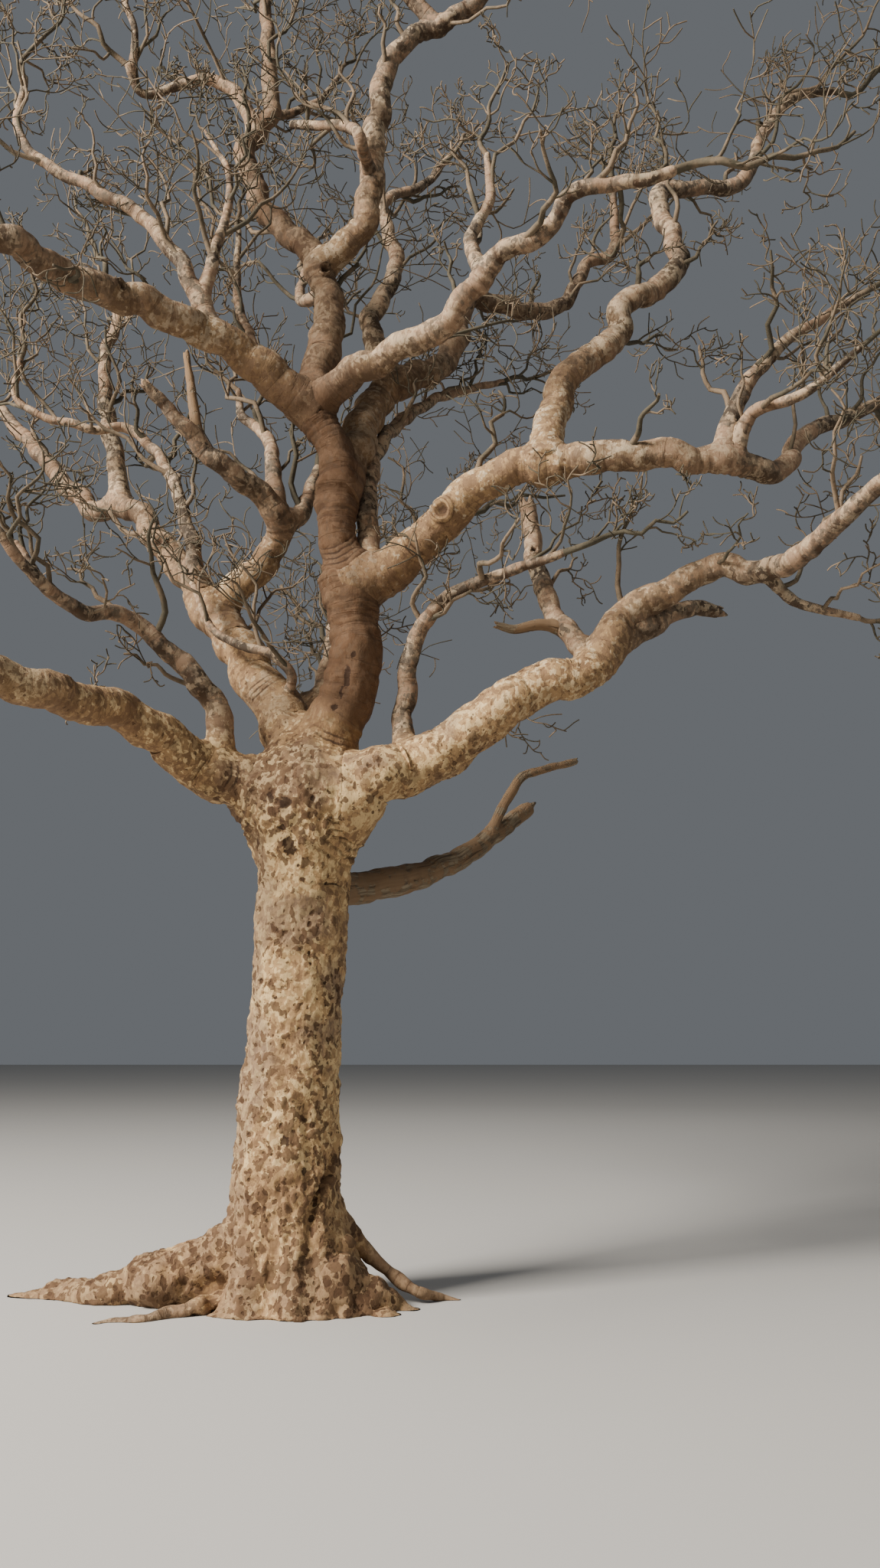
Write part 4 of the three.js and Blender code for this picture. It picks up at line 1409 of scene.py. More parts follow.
@dataclass(frozen=True)
class LiveBark(Finish):
    """Flaking, scabbed bark: cream and brown on old wood, banded grey and tan on young wood, with painted
    shade on undersides, the centre stem, the butt's foot and sides, its cleft and its fold creases.
    """

    title: str = "live_bark"
    cream: Colour = tone(214, 182, 132)
    bleached: Colour = tone(212, 190, 156)
    tan: Colour = tone(173, 140, 99)
    brown: Colour = tone(136, 107, 78)
    grey: Colour = tone(124, 106, 90)
    scale: Colour = tone(95, 72, 53)
    scab: Colour = tone(80, 59, 43)
    pit: Colour = tone(54, 39, 29)
    umber: Colour = tone(90, 66, 47)
    young_tan: Colour = tone(147, 121, 98)
    young_grey: Colour = tone(108, 96, 82)
    young_dark: Colour = tone(68, 60, 51)
    crease: Colour = tone(76, 56, 41)

    def layers(self, graph: Graph, place: Term) -> tuple[Term, Value, Term, float]:
        """Adds the bark's nodes. See Finish.layers."""
        place = graph.read("place", vector=True)
        bark, under = BarkPattern(graph, place), graph.read("under")
        age, knot = bark.age, bark.knot
        low, high = 1.0 - place.part(2).eased(0.1, 1.3), place.part(2).eased(3.1, 4.6)
        # The butt's east side is painted browner as shade
        shaded_east_side = place.part(0).eased(0.04, 0.26)
        mottle = bark.zones * 0.8 + bark.blotches * 0.8 + bark.flakes * 0.36 + bark.flecks * 0.35
        # Less cream on undersides: partly real bark, partly painted shade
        mottle = mottle - place.part(2).eased(2.9, 4.2) * 0.03 - under * 0.09
        old = graph.coated(
            self.brown,
            (mottle.eased(1.0, 1.07), self.tan),
            (mottle.eased(1.19, 1.26), graph.mixed(high, self.cream, self.bleached)),
            (high * 0.2, self.grey),
            # Grey lichen, with painted shade on the trunk's west side
            (bark.lichen * 0.55, self.grey))
        band = graph.noise(place, 3.3, 3.0, 0.6) + bark.flecks * 0.3 + bark.joints * 0.03
        # Fewer tan bands on undersides: partly real bark, partly painted shade
        band = band + (bark.flakes - 0.5) * 0.16 - under * 0.07
        young = graph.coated(
            self.young_grey,
            (band.eased(0.58, 0.68), self.young_tan),
            (band.eased(0.56, 0.48), self.young_dark),
            (mottle.eased(1.12, 1.26) * 0.35, self.bleached))
        shade = graph.noise(place * (1.0, 1.0, 0.5), 75.0, 4.0, 0.65)
        colour = graph.coated(
            young,
            (age.eased(0.1, 0.6), old),
            # Smooth umber bark: real on most limbs, partly painted shade on the centre stem
            ((graph.read("lost") * 1.2 + bark.flakes * 0.3 - 0.2).clamped(), self.umber),
            # Browner toward the foot, partly the butt's real bark and partly painted shade; the east
            # side's extra brown is painted shade
            (low * (shaded_east_side * 0.3 + 0.36), self.brown),
            (shade.eased(0.5, 0.75) * 0.45, self.crease),
            (bark.rings * 0.4, self.crease),
            (bark.joints.eased(-0.5, -1.0) * (1.0 - age) * 0.5, self.crease),
            (bark.crest * mottle.eased(1.3, 1.1) * 0.5, self.scale),
            # Umber on undersides: painted shade, partly the real browner underside bark
            (under * 0.26, self.umber),
            (bark.patches * 0.85, self.scale),
            (bark.specks * 0.72, self.scab),
            # Painted pit-dark: real stains, and painted shade down the butt's cleft
            (bark.stain * 0.9, self.pit),
            (bark.pits * 0.85, self.scab),
            # Painted shade: the deepest bands of the pressed folds are painted pit-dark
            (bark.press * bark.folds.eased(0.1, 0.85) * 0.85, self.pit),
            (knot.eased(0.62, 0.3) * 0.85, self.pit),
            (bark.knot_rings.eased(0.2, -0.8) * knot.eased(1.3, 1.0) * 0.6, self.crease))
        height = (shade * -0.35 + bark.flecks * 0.18 + bark.flakes * 0.4 * age
                  + bark.patches * 0.3 - bark.pits * 0.3 - bark.specks * 0.5 - bark.rings * 0.3)
        return colour, 0.84 + bark.flecks * 0.12, height, 0.009


@dataclass(frozen=True)
class DeadWood(Finish):
    """Weathered grey wood, split along its grain, with scraps of bark left on it."""

    title: str = "dead_wood"
    grey: Colour = tone(142, 127, 104)
    dark: Colour = tone(78, 65, 52)
    bark: Colour = tone(122, 98, 74)

    def layers(self, graph: Graph, place: Term) -> tuple[Term, Value, Term, float]:
        """Adds the wood's nodes. See Finish.layers."""
        grain = graph.read("grain", vector=True)
        streaks = graph.noise(grain * (60.0, 60.0, 4.0), 1.0, 4.0, 0.6)
        splits = graph.noise(grain * (26.0, 26.0, 1.6), 1.0, 3.0, 0.5).eased(0.6, 0.7)
        scraps = graph.noise(place, 7.0, 5.0, 0.65).eased(0.44, 0.5)
        colour = graph.coated(self.dark, (streaks.eased(0.3, 0.7), self.grey),
                              (scraps * 0.85, self.bark), (splits * 0.8, self.dark))
        height = streaks * 0.5 - splits + scraps * 0.6
        return colour, 0.9, height, 0.006


@dataclass(frozen=True)
class TwigBark(Finish):
    """Thin bark on twigs, from grey-green to pinkish tan, with darker bands."""

    title: str = "twig_bark"
    grey: Colour = tone(80, 74, 61)
    tan: Colour = tone(120, 103, 84)
    dark: Colour = tone(52, 46, 39)
    limb_grey: Colour = tone(98, 87, 72)
    limb_tan: Colour = tone(142, 117, 94)

    def layers(self, graph: Graph, place: Term) -> tuple[Term, Value, Term, float]:
        """Adds the twigs' nodes. See Finish.layers."""
        band, marks = graph.noise(place, 5.0, 3.0, 0.6), graph.noise(place, 34.0, 3.0, 0.6)
        colour = graph.coated(
            self.grey,
            ((band + graph.read("tint") * 0.3).eased(0.54, 0.84), self.tan),
            (graph.read("radius").eased(0.012, 0.03),
             graph.mixed(band.eased(0.44, 0.56), self.limb_grey, self.limb_tan)),
            (marks.eased(0.55, 0.7) * 0.6, self.dark))
        return colour, 0.86, marks, 0.003


# Twigs

@dataclass(frozen=True)
class Bearer:
    """What a twig belongs to.

    Attributes:
        owner: The mass, or the limb whose shoot it is on.
        middle: The middle of the ball that it keeps to.
        reach: The radius of that ball.
        foot: The stretch of limb that carries the mass's stem, which the stem may touch.
    """

    owner: str
    middle: Array
    reach: float
    foot: int = -1

    def holds(self, points: Array) -> bool:
        """Says whether all the points are in the ball."""
        return bool(np.all(np.linalg.norm(points - self.middle, axis=1) <= self.reach))


@dataclass
class Twig:
    """One twig in place.

    Attributes:
        line: Its joints.
        radii: Its radius at each joint.
        order: Its order of branching.
        key: Picks what grows on it.
        bearer: What it belongs to.
        root: Where it leaves the smooth line of the twig that bears it.
    """

    line: Array
    radii: Array
    order: int
    key: float
    bearer: Bearer
    root: Array

    @cached_property
    def corners(self) -> Array:
        """The corners of the twig's smooth line, which starts on that of what bears the twig.

        A stout twig has one at each joint and one between them, where it sways aside.
        """
        joints = np.vstack([self.root, self.line[1:]])
        if not self.stout:
            return joints
        ahead = np.diff(joints, axis=0)
        picks = np.array([[chance(self.key + step, Draw.SWAY + axis) - 0.5 for axis in range(3)]
                          for step in range(len(ahead))])
        found = np.zeros((2 * len(joints) - 1, 3))
        found[::2] = joints
        found[1::2] = 0.5 * (joints[:-1] + joints[1:]) + TWIG_SWAY * np.cross(ahead, picks)
        return found

    @property
    def stout(self) -> bool:
        """Whether the twig is of an order that the solids have."""
        return self.order < len(STOUT_ORDERS)

    @property
    def length(self) -> float:
        """The twig's length from joint to joint."""
        return float(lengths_along(self.line)[-1])

    def at(self, joints: float) -> Array:
        """Gives the point of the smooth line that is so many joints along it."""
        return curve_points(self.corners, np.array([joints / (len(self.line) - 1)]))[0]


class Stretches:
    """Every stretch of wood in place, which new stout twigs keep clear of."""

    samples = np.linspace(0.0, 1.0, 5)[:, None]

    def __init__(self) -> None:
        """Starts with nothing in place."""
        self.starts, self.runs = np.zeros((0, 3)), np.zeros((0, 3))
        self.radii = np.zeros(0)
        self.owners = np.zeros(0, dtype=object)

    def add(self, points: Array, radii: Array, owner: str) -> int:
        """Adds a line of stretches.

        Args:
            points: The ends of the stretches.
            radii: The radius at each.
            owner: What they belong to.

        Returns:
            The place of the last of them.
        """
        self.starts = np.vstack([self.starts, points[:-1]])
        self.runs = np.vstack([self.runs, np.diff(points, axis=0)])
        self.radii = np.append(self.radii, np.maximum(radii[:-1], radii[1:]))
        self.owners = np.append(self.owners, np.full(len(points) - 1, owner, dtype=object))
        return len(self.starts) - 1

    def clear_of(self, points: Array, radius: float, bearer: Bearer,
                 stem: bool) -> bool:
        """Says whether a new twig is clear of all but its own mass.

        Args:
            points: The twig's joints.
            radius: Its radius at its root.
            bearer: What it belongs to.
            stem: Whether it is its mass's stem, which may touch the limb under it.

        Returns:
            Whether it is clear.
        """
        others = self.owners != bearer.owner
        if stem:
            others[bearer.foot] = False
        starts, runs = self.starts[others], self.runs[others]
        allowed = radius + self.radii[others] + TWIG_GAP
        squares = np.sum(runs * runs, axis=1)
        for begin, end in zip(points[:-1], points[1:]):
            for point in begin + self.samples * (end - begin):
                off = point - starts
                share = np.clip(np.sum(off * runs, axis=1) / squares, 0.0, 1.0)
                apart = np.linalg.norm(off - share[:, None] * runs, axis=1)
                if np.any(apart < allowed):
                    return False
        return True


def twig_joints(start: Array, heading: Array, length: float, order: TwigOrder,
                key: float) -> Array:
    """Lays out a twig's joints: at each it turns a little, by chance, and is drawn upwards.

    Args:
        start: Where it starts.
        heading: The way that it sets off.
        length: Its length.
        order: How it grows.
        key: Picks its turns.

    Returns:
        The joints, with the start.
    """
    points, ahead = [start], heading
    roll = FULL_TURN * chance(key, Draw.CURL)
    aside = order.curl * turned(across(heading), heading, roll)
    for joint in range(order.joints):
        points.append(points[-1] + ahead * length / order.joints)
        turn = [order.kink * 2.0 * (chance(key, 3 * joint + axis) - 0.5) for axis in range(3)]
        ahead = unit(ahead + turn + aside + np.array([0.0, 0.0, order.lift]))
    return np.array(points)


@dataclass
class Crown:
    """Every bare twig of the tree: masses at the limbs' tips, and shoots along the limbs.

    Attributes:
        side_step: How far apart side twigs stand on stout twigs.
        side_spread: The least and the greatest lean of them, in radians.
        side_length: The least and the greatest length of them, as a share of the mass's reach.
        side_radius: The radius of the stoutest of them.
        side_lift: How strongly they are drawn upwards.
        shoot_start: Where on a limb the first shoot stands, as a share of its length.
        shoot_step: How far apart the shoots stand on thin limbs.
        shoot_stray: The least and the greatest share of that.
        shoot_crowding: The limb radius past which they stand further apart.
        shoot_thinning: How fast they do.
        shoot_spread: The least and the greatest lean of a shoot, in radians.
        shoot_lift: How strongly shoots are drawn upwards.
        shoot_length: The least and the greatest length of a shoot.
        shoot_bias: How strongly short shoots outnumber long ones.
        shoot_radius: The least and the greatest radius of a shoot.
        shoot_space: How far a shoot's twigs may reach, in lengths of the shoot.
        shoot_end: Where the shoots of a limb end: where it bears twigs at its tip, and where it
            is broken off.
        stout_points: The points of a stout twig's smooth line, for each joint.
        fine_points: Those of a fine twig's.
        piece_points: The most points that one piece holds.
    """

    side_step: float = 0.21
    side_spread: Span = (0.8, 1.3)
    side_length: Span = (0.171, 0.513)
    side_radius: float = 0.0115
    side_lift: float = 0.25
    shoot_start: float = 0.22
    shoot_step: float = 0.22
    shoot_stray: Span = (0.6, 1.4)
    shoot_crowding: float = 0.05
    shoot_thinning: float = 1.6
    shoot_spread: Span = (0.7, 1.3)
    shoot_lift: float = 0.85
    shoot_length: Span = (0.4, 1.05)
    shoot_bias: float = 1.4
    shoot_radius: Span = (0.012, 0.025)
    shoot_space: float = 1.5
    shoot_end: Span = (0.98, 0.66)
    stout_points: int = 4
    fine_points: int = 2
    piece_points: int = 26000

    def __post_init__(self) -> None:
        """Starts with nothing grown."""
        self.orders = STOUT_ORDERS + FINE_ORDERS
        self.stretches = Stretches()
        self.low, self.high = (np.array(corner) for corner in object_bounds())
        self.wood = np.zeros((0, 3))
        self.wood_radii = np.zeros(0)
        self.twigs: list[Twig] = []

    def lay_trunk(self, trunk: Trunk) -> None:
        """Marks the trunk's place, as the solids do."""
        points = trunk.spine.at(np.linspace(0.0, trunk.spine.length, 11))
        dome = np.clip((points[:, 2] - trunk.dome_start) / (trunk.height - trunk.dome_start), 0, 1)
        radii = trunk.radius(points[:, 2], np.zeros(len(points)))
        self.stretches.add(points, radii * np.sqrt(np.maximum(0.01, 1.0 - dome ** 2)), "trunk")
        self.mark_wood(points, radii)

    def lay_limb(self, limb: GrownLimb) -> int:
        """Marks a limb's place, as the solids do, and gives the place of its last stretch."""
        steps = max(4, math.floor(limb.spine.length / SOLID_RING_STEP + 0.5))
        marks = np.linspace(0.0, limb.spine.length, steps + 1)
        self.mark_wood(limb.line[::4], limb.radii[::4])
        return self.stretches.add(limb.spine.at(marks), limb.planned_radius(marks), limb.name)

    def mark_wood(self, points: Array, radii: Array) -> None:
        """Adds to the wood that fine twigs keep out of."""
        self.wood = np.vstack([self.wood, points])
        self.wood_radii = np.append(self.wood_radii, radii)

    def grow_mass(self, limb: GrownLimb, foot: int, key: int) -> None:
        """Grows the mass on a limb's tip, by the rule of the solids.

        Args:
            limb: The limb.
            foot: The place of its last stretch.
            key: Picks how the mass grows.
        """
        start = self.stretches.starts[foot]
        end = start + self.stretches.runs[foot]
        ahead = unit(end - start)
        tip = end + SEAT_GAP * ahead
        reach = limb.plan.reach
        middle = tip + SPACE_AHEAD * reach * ahead + np.array([0.0, 0.0, SPACE_LIFT * reach])
        bearer = Bearer(f"twigs_{limb.name}", middle, reach, foot)
        stem = self.orders[0]
        self.grow(tip, ahead, reach * stem.length, limb.plan.girth[1] * 0.5 * stem.girth, 0,
                  key, bearer, tip)

    def fits(self, line: Array, radius: float, order: int, bearer: Bearer) -> bool:
        """Says whether a new twig keeps to its mass's space and clear of what is in place."""
        if not bearer.holds(line[1:]):
            return False
        if order < len(STOUT_ORDERS):
            return self.stretches.clear_of(line, radius, bearer, order == 0)
        if np.any(line[1:] < self.low) or np.any(line[1:] > self.high):
            return False
        apart = np.linalg.norm(line[1:, None] - self.wood[None], axis=2) - self.wood_radii
        return bool(np.all(apart > radius + TWIG_GAP))

    def grow(self, start: Array, heading: Array, length: float, radius: float,
             order: int, key: float, bearer: Bearer, root: Array) -> None:
        """Grows a twig and all that it bears.

        Args:
            start: Where it starts.
            heading: The way that it sets off.
            length: Its length.
            radius: Its radius at its root.
            order: Its order of branching.
            key: Picks its turns and what grows on it.
            bearer: What it belongs to.
            root: Where it leaves the smooth line of the twig that bears it.
        """
        plan = self.orders[order]
        line = twig_joints(start, heading, length, plan, key)
        if not self.fits(line, radius, order, bearer):
            return
        taper = 1.0 - (1.0 - TWIG_TIP) * np.linspace(0.0, 1.0, len(line))
        twig = Twig(line, np.maximum(TWIG_LEAST, radius * taper), order, key, bearer, root)
        self.twigs.append(twig)
        if twig.stout:
            self.stretches.add(line, twig.radii, bearer.owner)
        if order + 1 < len(self.orders):
            self.bear(twig)
        if twig.stout:
            self.bear_sides(twig)

    def bear(self, twig: Twig) -> None:
        """Grows the next order of twigs on a twig."""
        finer, last = self.orders[twig.order + 1], len(twig.line) - 1
        for joint in range(self.orders[twig.order].bears, last + 1):
            key = twig.key * 6 + joint
            before, after = twig.line[joint - 1], twig.line[joint]
            roll = GOLDEN_TURN * joint + FULL_TURN * chance(twig.key, Draw.ROLL)
            spread = drawn(TWIG_SPREAD, key, Draw.SPREAD)
            shrink = (1.0 - TWIG_SHRINK * joint / last) * drawn(TWIG_STRAY, key, Draw.LENGTH)
            self.grow(before + TWIG_ROOT * (after - before),
                      leaning(unit(after - before), roll, spread),
                      finer.length * shrink * twig.length, twig.radii[joint] * finer.girth,
                      twig.order + 1, key, twig.bearer, twig.at(joint - 1 + TWIG_ROOT))

    def bear_sides(self, twig: Twig) -> None:
        """Grows side twigs along a stout twig."""
        last = len(twig.line) - 1
        places = int(twig.length / self.side_step)
        for place in range(1, places):
            key = twig.key * 11 + 3 * place + 0.37
            joints = last * (place + 0.6 * chance(key, Draw.SIDE_PLACE)) / places
            root = twig.at(min(joints, last))
            ahead = unit(twig.at(min(joints + 0.1, last)) - twig.at(min(joints, last) - 0.1))
            roll = GOLDEN_TURN * place + FULL_TURN * chance(key, Draw.SIDE_ROLL)
            spread = drawn(self.side_spread, key, Draw.SIDE_SPREAD)
            heading = unit(leaning(ahead, roll, spread) + [0.0, 0.0, self.side_lift])
            length = twig.bearer.reach * drawn(self.side_length, key, Draw.SIDE_LENGTH)
            girth = float(np.interp(joints, range(last + 1), twig.radii))
            self.grow(root, heading, length, min(self.side_radius, 0.6 * girth),
                      len(STOUT_ORDERS), key, twig.bearer, root)

    def grow_shoots(self, limb: GrownLimb, key: int) -> None:
        """Grows shoots along a limb, each with its own fine twigs.

        Args:
            limb: The limb.
            key: Picks where they stand and how they grow.
        """
        mark, place = self.shoot_start * limb.length, 0
        last = self.shoot_end[limb.plan.reach == 0] * limb.length
        while mark < last:
            pick = key + 7 * place
            row = int(np.clip(np.searchsorted(limb.marks, mark), 1, len(limb.line) - 2))
            ahead = unit(limb.line[row + 1] - limb.line[row - 1])
            roll = GOLDEN_TURN * place + FULL_TURN * chance(key, Draw.SHOOT_ROLL)
            spread = drawn(self.shoot_spread, pick, Draw.SHOOT_SPREAD)
            heading = leaning(ahead, roll, spread, self.shoot_lift)
            length = drawn(self.shoot_length, pick, Draw.SHOOT_LENGTH, self.shoot_bias)
            radius = drawn(self.shoot_radius, pick, Draw.SHOOT_RADIUS)
            root = limb.line[row] + 0.8 * limb.radii[row] * heading
            bearer = Bearer(limb.name, root + heading * 0.6 * length, length * self.shoot_space)
            self.grow(root, heading, length, min(radius, 0.5 * limb.radii[row]), 1, pick,
                      bearer, root)
            crowding = max(1.0, limb.radii[row] / self.shoot_crowding) ** self.shoot_thinning
            mark += self.shoot_step * crowding * drawn(self.shoot_stray, pick, Draw.SHOOT_STEP)
            place += 1

    def pieces(self) -> list[tuple[list[str], list[Twig]]]:
        """Shares the masses out among pieces that are not too big.

        Returns:
            For each piece, the masses that it holds, and its twigs.
        """
        owned: dict[str, list[Twig]] = {}
        for twig in self.twigs:
            owned.setdefault(twig.bearer.owner, []).append(twig)
        shares: list[tuple[list[str], list[Twig]]] = []
        held = self.piece_points
        for owner, twigs in owned.items():
            size = sum(self.point_count(twig) for twig in twigs)
            if held + size > self.piece_points:
                shares.append(([], []))
                held = 0
            held += size
            shares[-1][0].append(owner)
            shares[-1][1].extend(twigs)
        return shares

    def point_count(self, twig: Twig) -> int:
        """Gives the weight of a twig in its piece: its points, with stout ones counted twice."""
        return len(twig.line) * (2 * self.stout_points if twig.stout else self.fine_points)

    def mesh(self, name: str, twigs: list[Twig]) -> Mesh:
        """Makes a mesh of chains, one for each twig.

        Args:
            name: The mesh's name.
            twigs: The twigs.

        Returns:
            The mesh, with the radius, tint and stoutness of each point.
        """
        points, edges, radii, tints, stout = [], [], [], [], []
        for twig in twigs:
            per_joint = self.stout_points if twig.stout else self.fine_points
            shares = np.linspace(0.0, 1.0, (len(twig.line) - 1) * per_joint + 1)
            first = len(tints)
            line = curve_points(twig.corners, shares)
            points.append(line)
            radii.append(np.interp(shares, np.linspace(0.0, 1.0, len(twig.line)), twig.radii))
            tints += [chance(twig.key, Draw.TINT)] * len(line)
            stout += [twig.stout] * len(line)
            edges += [(step, step + 1) for step in range(first, first + len(line) - 1)]
        made = bpy.data.meshes.new(name)
        made.from_pydata(np.vstack(points).tolist(), edges, [])
        put_numbers(made, "radius", np.concatenate(radii))
        put_numbers(made, "tint", np.array(tints))
        made.attributes.new("stout", "BOOLEAN", "POINT").data.foreach_set("value", stout)
        return made


# Assembly

def put_numbers(mesh: Mesh, name: str, values: Array) -> None:
    """Stores a number, or a vector, for each point of a mesh."""
    many = values.ndim > 1
    layer = mesh.attributes.new(name, "FLOAT_VECTOR" if many else "FLOAT", "POINT")
    layer.data.foreach_set("vector" if many else "value",
                           np.ascontiguousarray(values, dtype=np.float32).ravel())


def new_object(name: str, data: bpy.types.ID) -> Object:
    """Adds an object for a mesh, a light or a camera to the scene."""
    made = bpy.data.objects.new(name, data)
    bpy.context.scene.collection.objects.link(made)
    return made


def settle(piece: Object, nodes: list[str]) -> None:
    """Ties a finished piece to the frame.

    Args:
        piece: The piece.
        nodes: The nodes that it stands for.
    """
    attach(piece, BODY)
    if nodes:
        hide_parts(*nodes)
    triangles = sum(len(face.vertices) - 2 for face in piece.data.polygons)
    LOG.info("%s: %d triangles", piece.name, triangles)


@dataclass
class Skeleton:
    """The trunk, its roots and every limb, with their skins.

    Attributes:
        side_length: How long the sides of a limb's rings are.
        old_radius: The radius at which bark is at its oldest.
        young_radius: The radius at which it is at its youngest.
        near_start: How close two limbs start that meet besides at their parent.
        stout: The radius past which wood counts as stout.
        stout_reach: How far from where they meet such wood is fitted to other wood.
        slim_reach: How far slimmer wood is, in radii of both.
        fillets: The least and the greatest width of the rounded corner between two limbs.
        fillet_share: That width, as a share of the thinner one's radius.
        press_radius: The least radius of a limb that folds the bark under it.
        presses: How hard a limb presses on a limb, and on the trunk.
        root_age: How much older a root's bark is than a limb's of its girth.
        root_fillet: The width of the rounded corner between the trunk and a root.
        root_reach: How far from where they meet a root and the trunk are fitted to each other.
    """

    side_length: float = 0.0145
    old_radius: float = 0.2
    young_radius: float = 0.03
    near_start: float = 0.45
    stout: float = 0.3
    stout_reach: float = 1.25
    slim_reach: float = 3.5
    fillets: Span = (0.02, 0.13)
    fillet_share: float = 0.8
    press_radius: float = 0.055
    presses: Span = (0.4, 0.6)
    root_age: float = 1.8
    root_fillet: float = 0.09
    root_reach: float = 1.0

    def __post_init__(self) -> None:
        """Lays out the trunk, the roots and the limbs."""
        self.trunk = Trunk()
        self.roots = [grown_root(root) for root in SURFACE_ROOTS]
        self.limbs: dict[str, GrownLimb] = {}
        for plan in LIMBS + SIDE_LIMBS:
            start = self.parent(plan).spine.point(plan.at)
            self.limbs[plan.name] = GrownLimb(plan, start)

    def parent(self, plan: Limb) -> Trunk | GrownLimb:
        """Gives the wood that a planned limb leaves."""
        return self.trunk if plan.parent == "trunk" else self.limbs[plan.parent]

    def meeting(self, here: Wood | Trunk, other: Wood | Trunk, middle: Array,
                presses: float = 0.0) -> Neighbour:
        """Describes how one piece of wood meets another at a place."""
        widths = [self.width_at(wood, middle) for wood in (here, other)]
        fillet = float(np.clip(self.fillet_share * min(widths), *self.fillets))
        reach = self.stout_reach if max(widths) > self.stout else self.slim_reach * sum(widths)
        return Neighbour(other, middle, reach, fillet, presses)

    def root_meeting(self, root: Wood, other: Wood | Trunk) -> Neighbour:
        """Describes how a root meets the trunk, or the trunk a root."""
        middle = root.line[len(root.line) // 3]
        return Neighbour(other, middle, self.root_reach, self.root_fillet, 0.0)

    def width_at(self, wood: Wood | Trunk, middle: Array) -> float:
        """Gives the radius of a piece of wood at its place nearest a point."""
        if isinstance(wood, Trunk):
            return float(wood.radius(middle[2:], np.zeros(1))[0])
        return float(wood.radii[np.argmin(np.linalg.norm(wood.line - middle, axis=1))])

    def neighbours(self, limb: GrownLimb) -> list[Neighbour]:
        """Lists the wood that a limb meets."""
        found = [self.meeting(limb, self.parent(limb.plan), limb.start)]
        for other in self.limbs.values():
            if other is limb:
                continue
            apart = float(np.linalg.norm(other.start - limb.start))
            if other.plan.parent == limb.name:
                presses = self.presses[0] if other.radii[0] > self.press_radius else 0.0
                found.append(self.meeting(limb, other, other.start, presses))
            elif other.plan.parent == limb.plan.parent and apart < self.near_start:
                found.append(self.meeting(limb, other, other.start))
        return found

    def trunk_neighbours(self) -> list[Neighbour]:
        """Lists the wood that meets the trunk."""
        boughs = [self.meeting(self.trunk, limb, limb.start, self.presses[1])
                  for limb in self.limbs.values() if limb.plan.parent == "trunk"]
        return boughs + [self.root_meeting(root, root) for root in self.roots]

    def skin(self, name: str, surfaces: list[Surface]) -> Mesh:
        """Makes one mesh of some skins.

        Args:
            name: The mesh's name.
            surfaces: The skins.

        Returns:
            The mesh, with what its relief and its bark need at each point.
        """
        firsts = np.cumsum([0] + [len(surface.points) for surface in surfaces])
        faces = [tuple(corner + first for corner in face)
                 for surface, first in zip(surfaces, firsts.tolist()) for face in surface.faces]
        parts = {part: np.concatenate([getattr(surface, part) for surface in surfaces])
                 for part in ("points", "normals", "girth", "grain", "fold", "press", "knot", "stain")}
        points, down = parts.pop("points"), -parts.pop("normals")[:, 2]
        # How much of the bark is smooth and umber; on the centre stem this is partly painted shade
        first, later = SMOOTH_BARK_AND_STEM_SHADE.get(name, (0.0, 0.0))
        lost = first + (later - first) * smooth(parts["grain"][:, 2], *SMOOTH_SPAN)
        age = smooth(parts["girth"], self.young_radius, self.old_radius) * (1.0 - lost)
        # Downward-facing skin, painted browner with less cream: partly real underside bark, partly
        # painted shade
        under = smooth(down, 0.0, 0.8)
        made = bpy.data.meshes.new(name)
        made.from_pydata(points.tolist(), [], faces)
        for part, values in {**parts, "age": age, "lost": lost, "under": under, "place": points}.items():
            put_numbers(made, part, values)
        return made

    def trunk_mesh(self) -> Mesh:
        """Makes the mesh of the trunk with its roots."""
        surface = trunk_surface(self.trunk)
        fit_and_mark(surface, self.trunk, self.trunk_neighbours())
        surfaces = [surface]
        for key, root in enumerate(self.roots):
            skin = limb_surface(root, LimbEnd.ROUND, self.side_length, key)
            fit_and_mark(skin, root, [self.root_meeting(root, self.trunk)])
            skin.girth *= self.root_age
            surfaces.append(skin)
        return self.skin("trunk", surfaces)

    def limb_mesh(self, limb: GrownLimb, key: int) -> Mesh:
        """Makes the mesh of a limb, broken off where it bears no twigs."""
        carries = any(other.plan.parent == limb.name and other.plan.at > 0.9
                      for other in self.limbs.values())
        whole = limb.plan.reach > 0 or carries
        end = LimbEnd.ROUND if whole else LimbEnd.BROKEN
        surface = limb_surface(limb, end, self.side_length, key)
        fit_and_mark(surface, limb, self.neighbours(limb))
        return self.skin(limb.name, [surface])


def keep_above_ground(mesh: Mesh) -> None:
    """Lifts what lies under the ground up to it, and what is past the butt a little over it."""
    places = np.zeros(len(mesh.vertices) * 3, dtype=np.float32)
    mesh.vertices.foreach_get("co", places)
    least = np.where(np.hypot(places[::3], places[1::3]) > BUTT_REACH, ROOT_LIFT, 0.0)
    places[2::3] = np.maximum(places[2::3], least)
    mesh.vertices.foreach_set("co", places)
    mesh.update()


SENSOR_WIDTH = 36.0


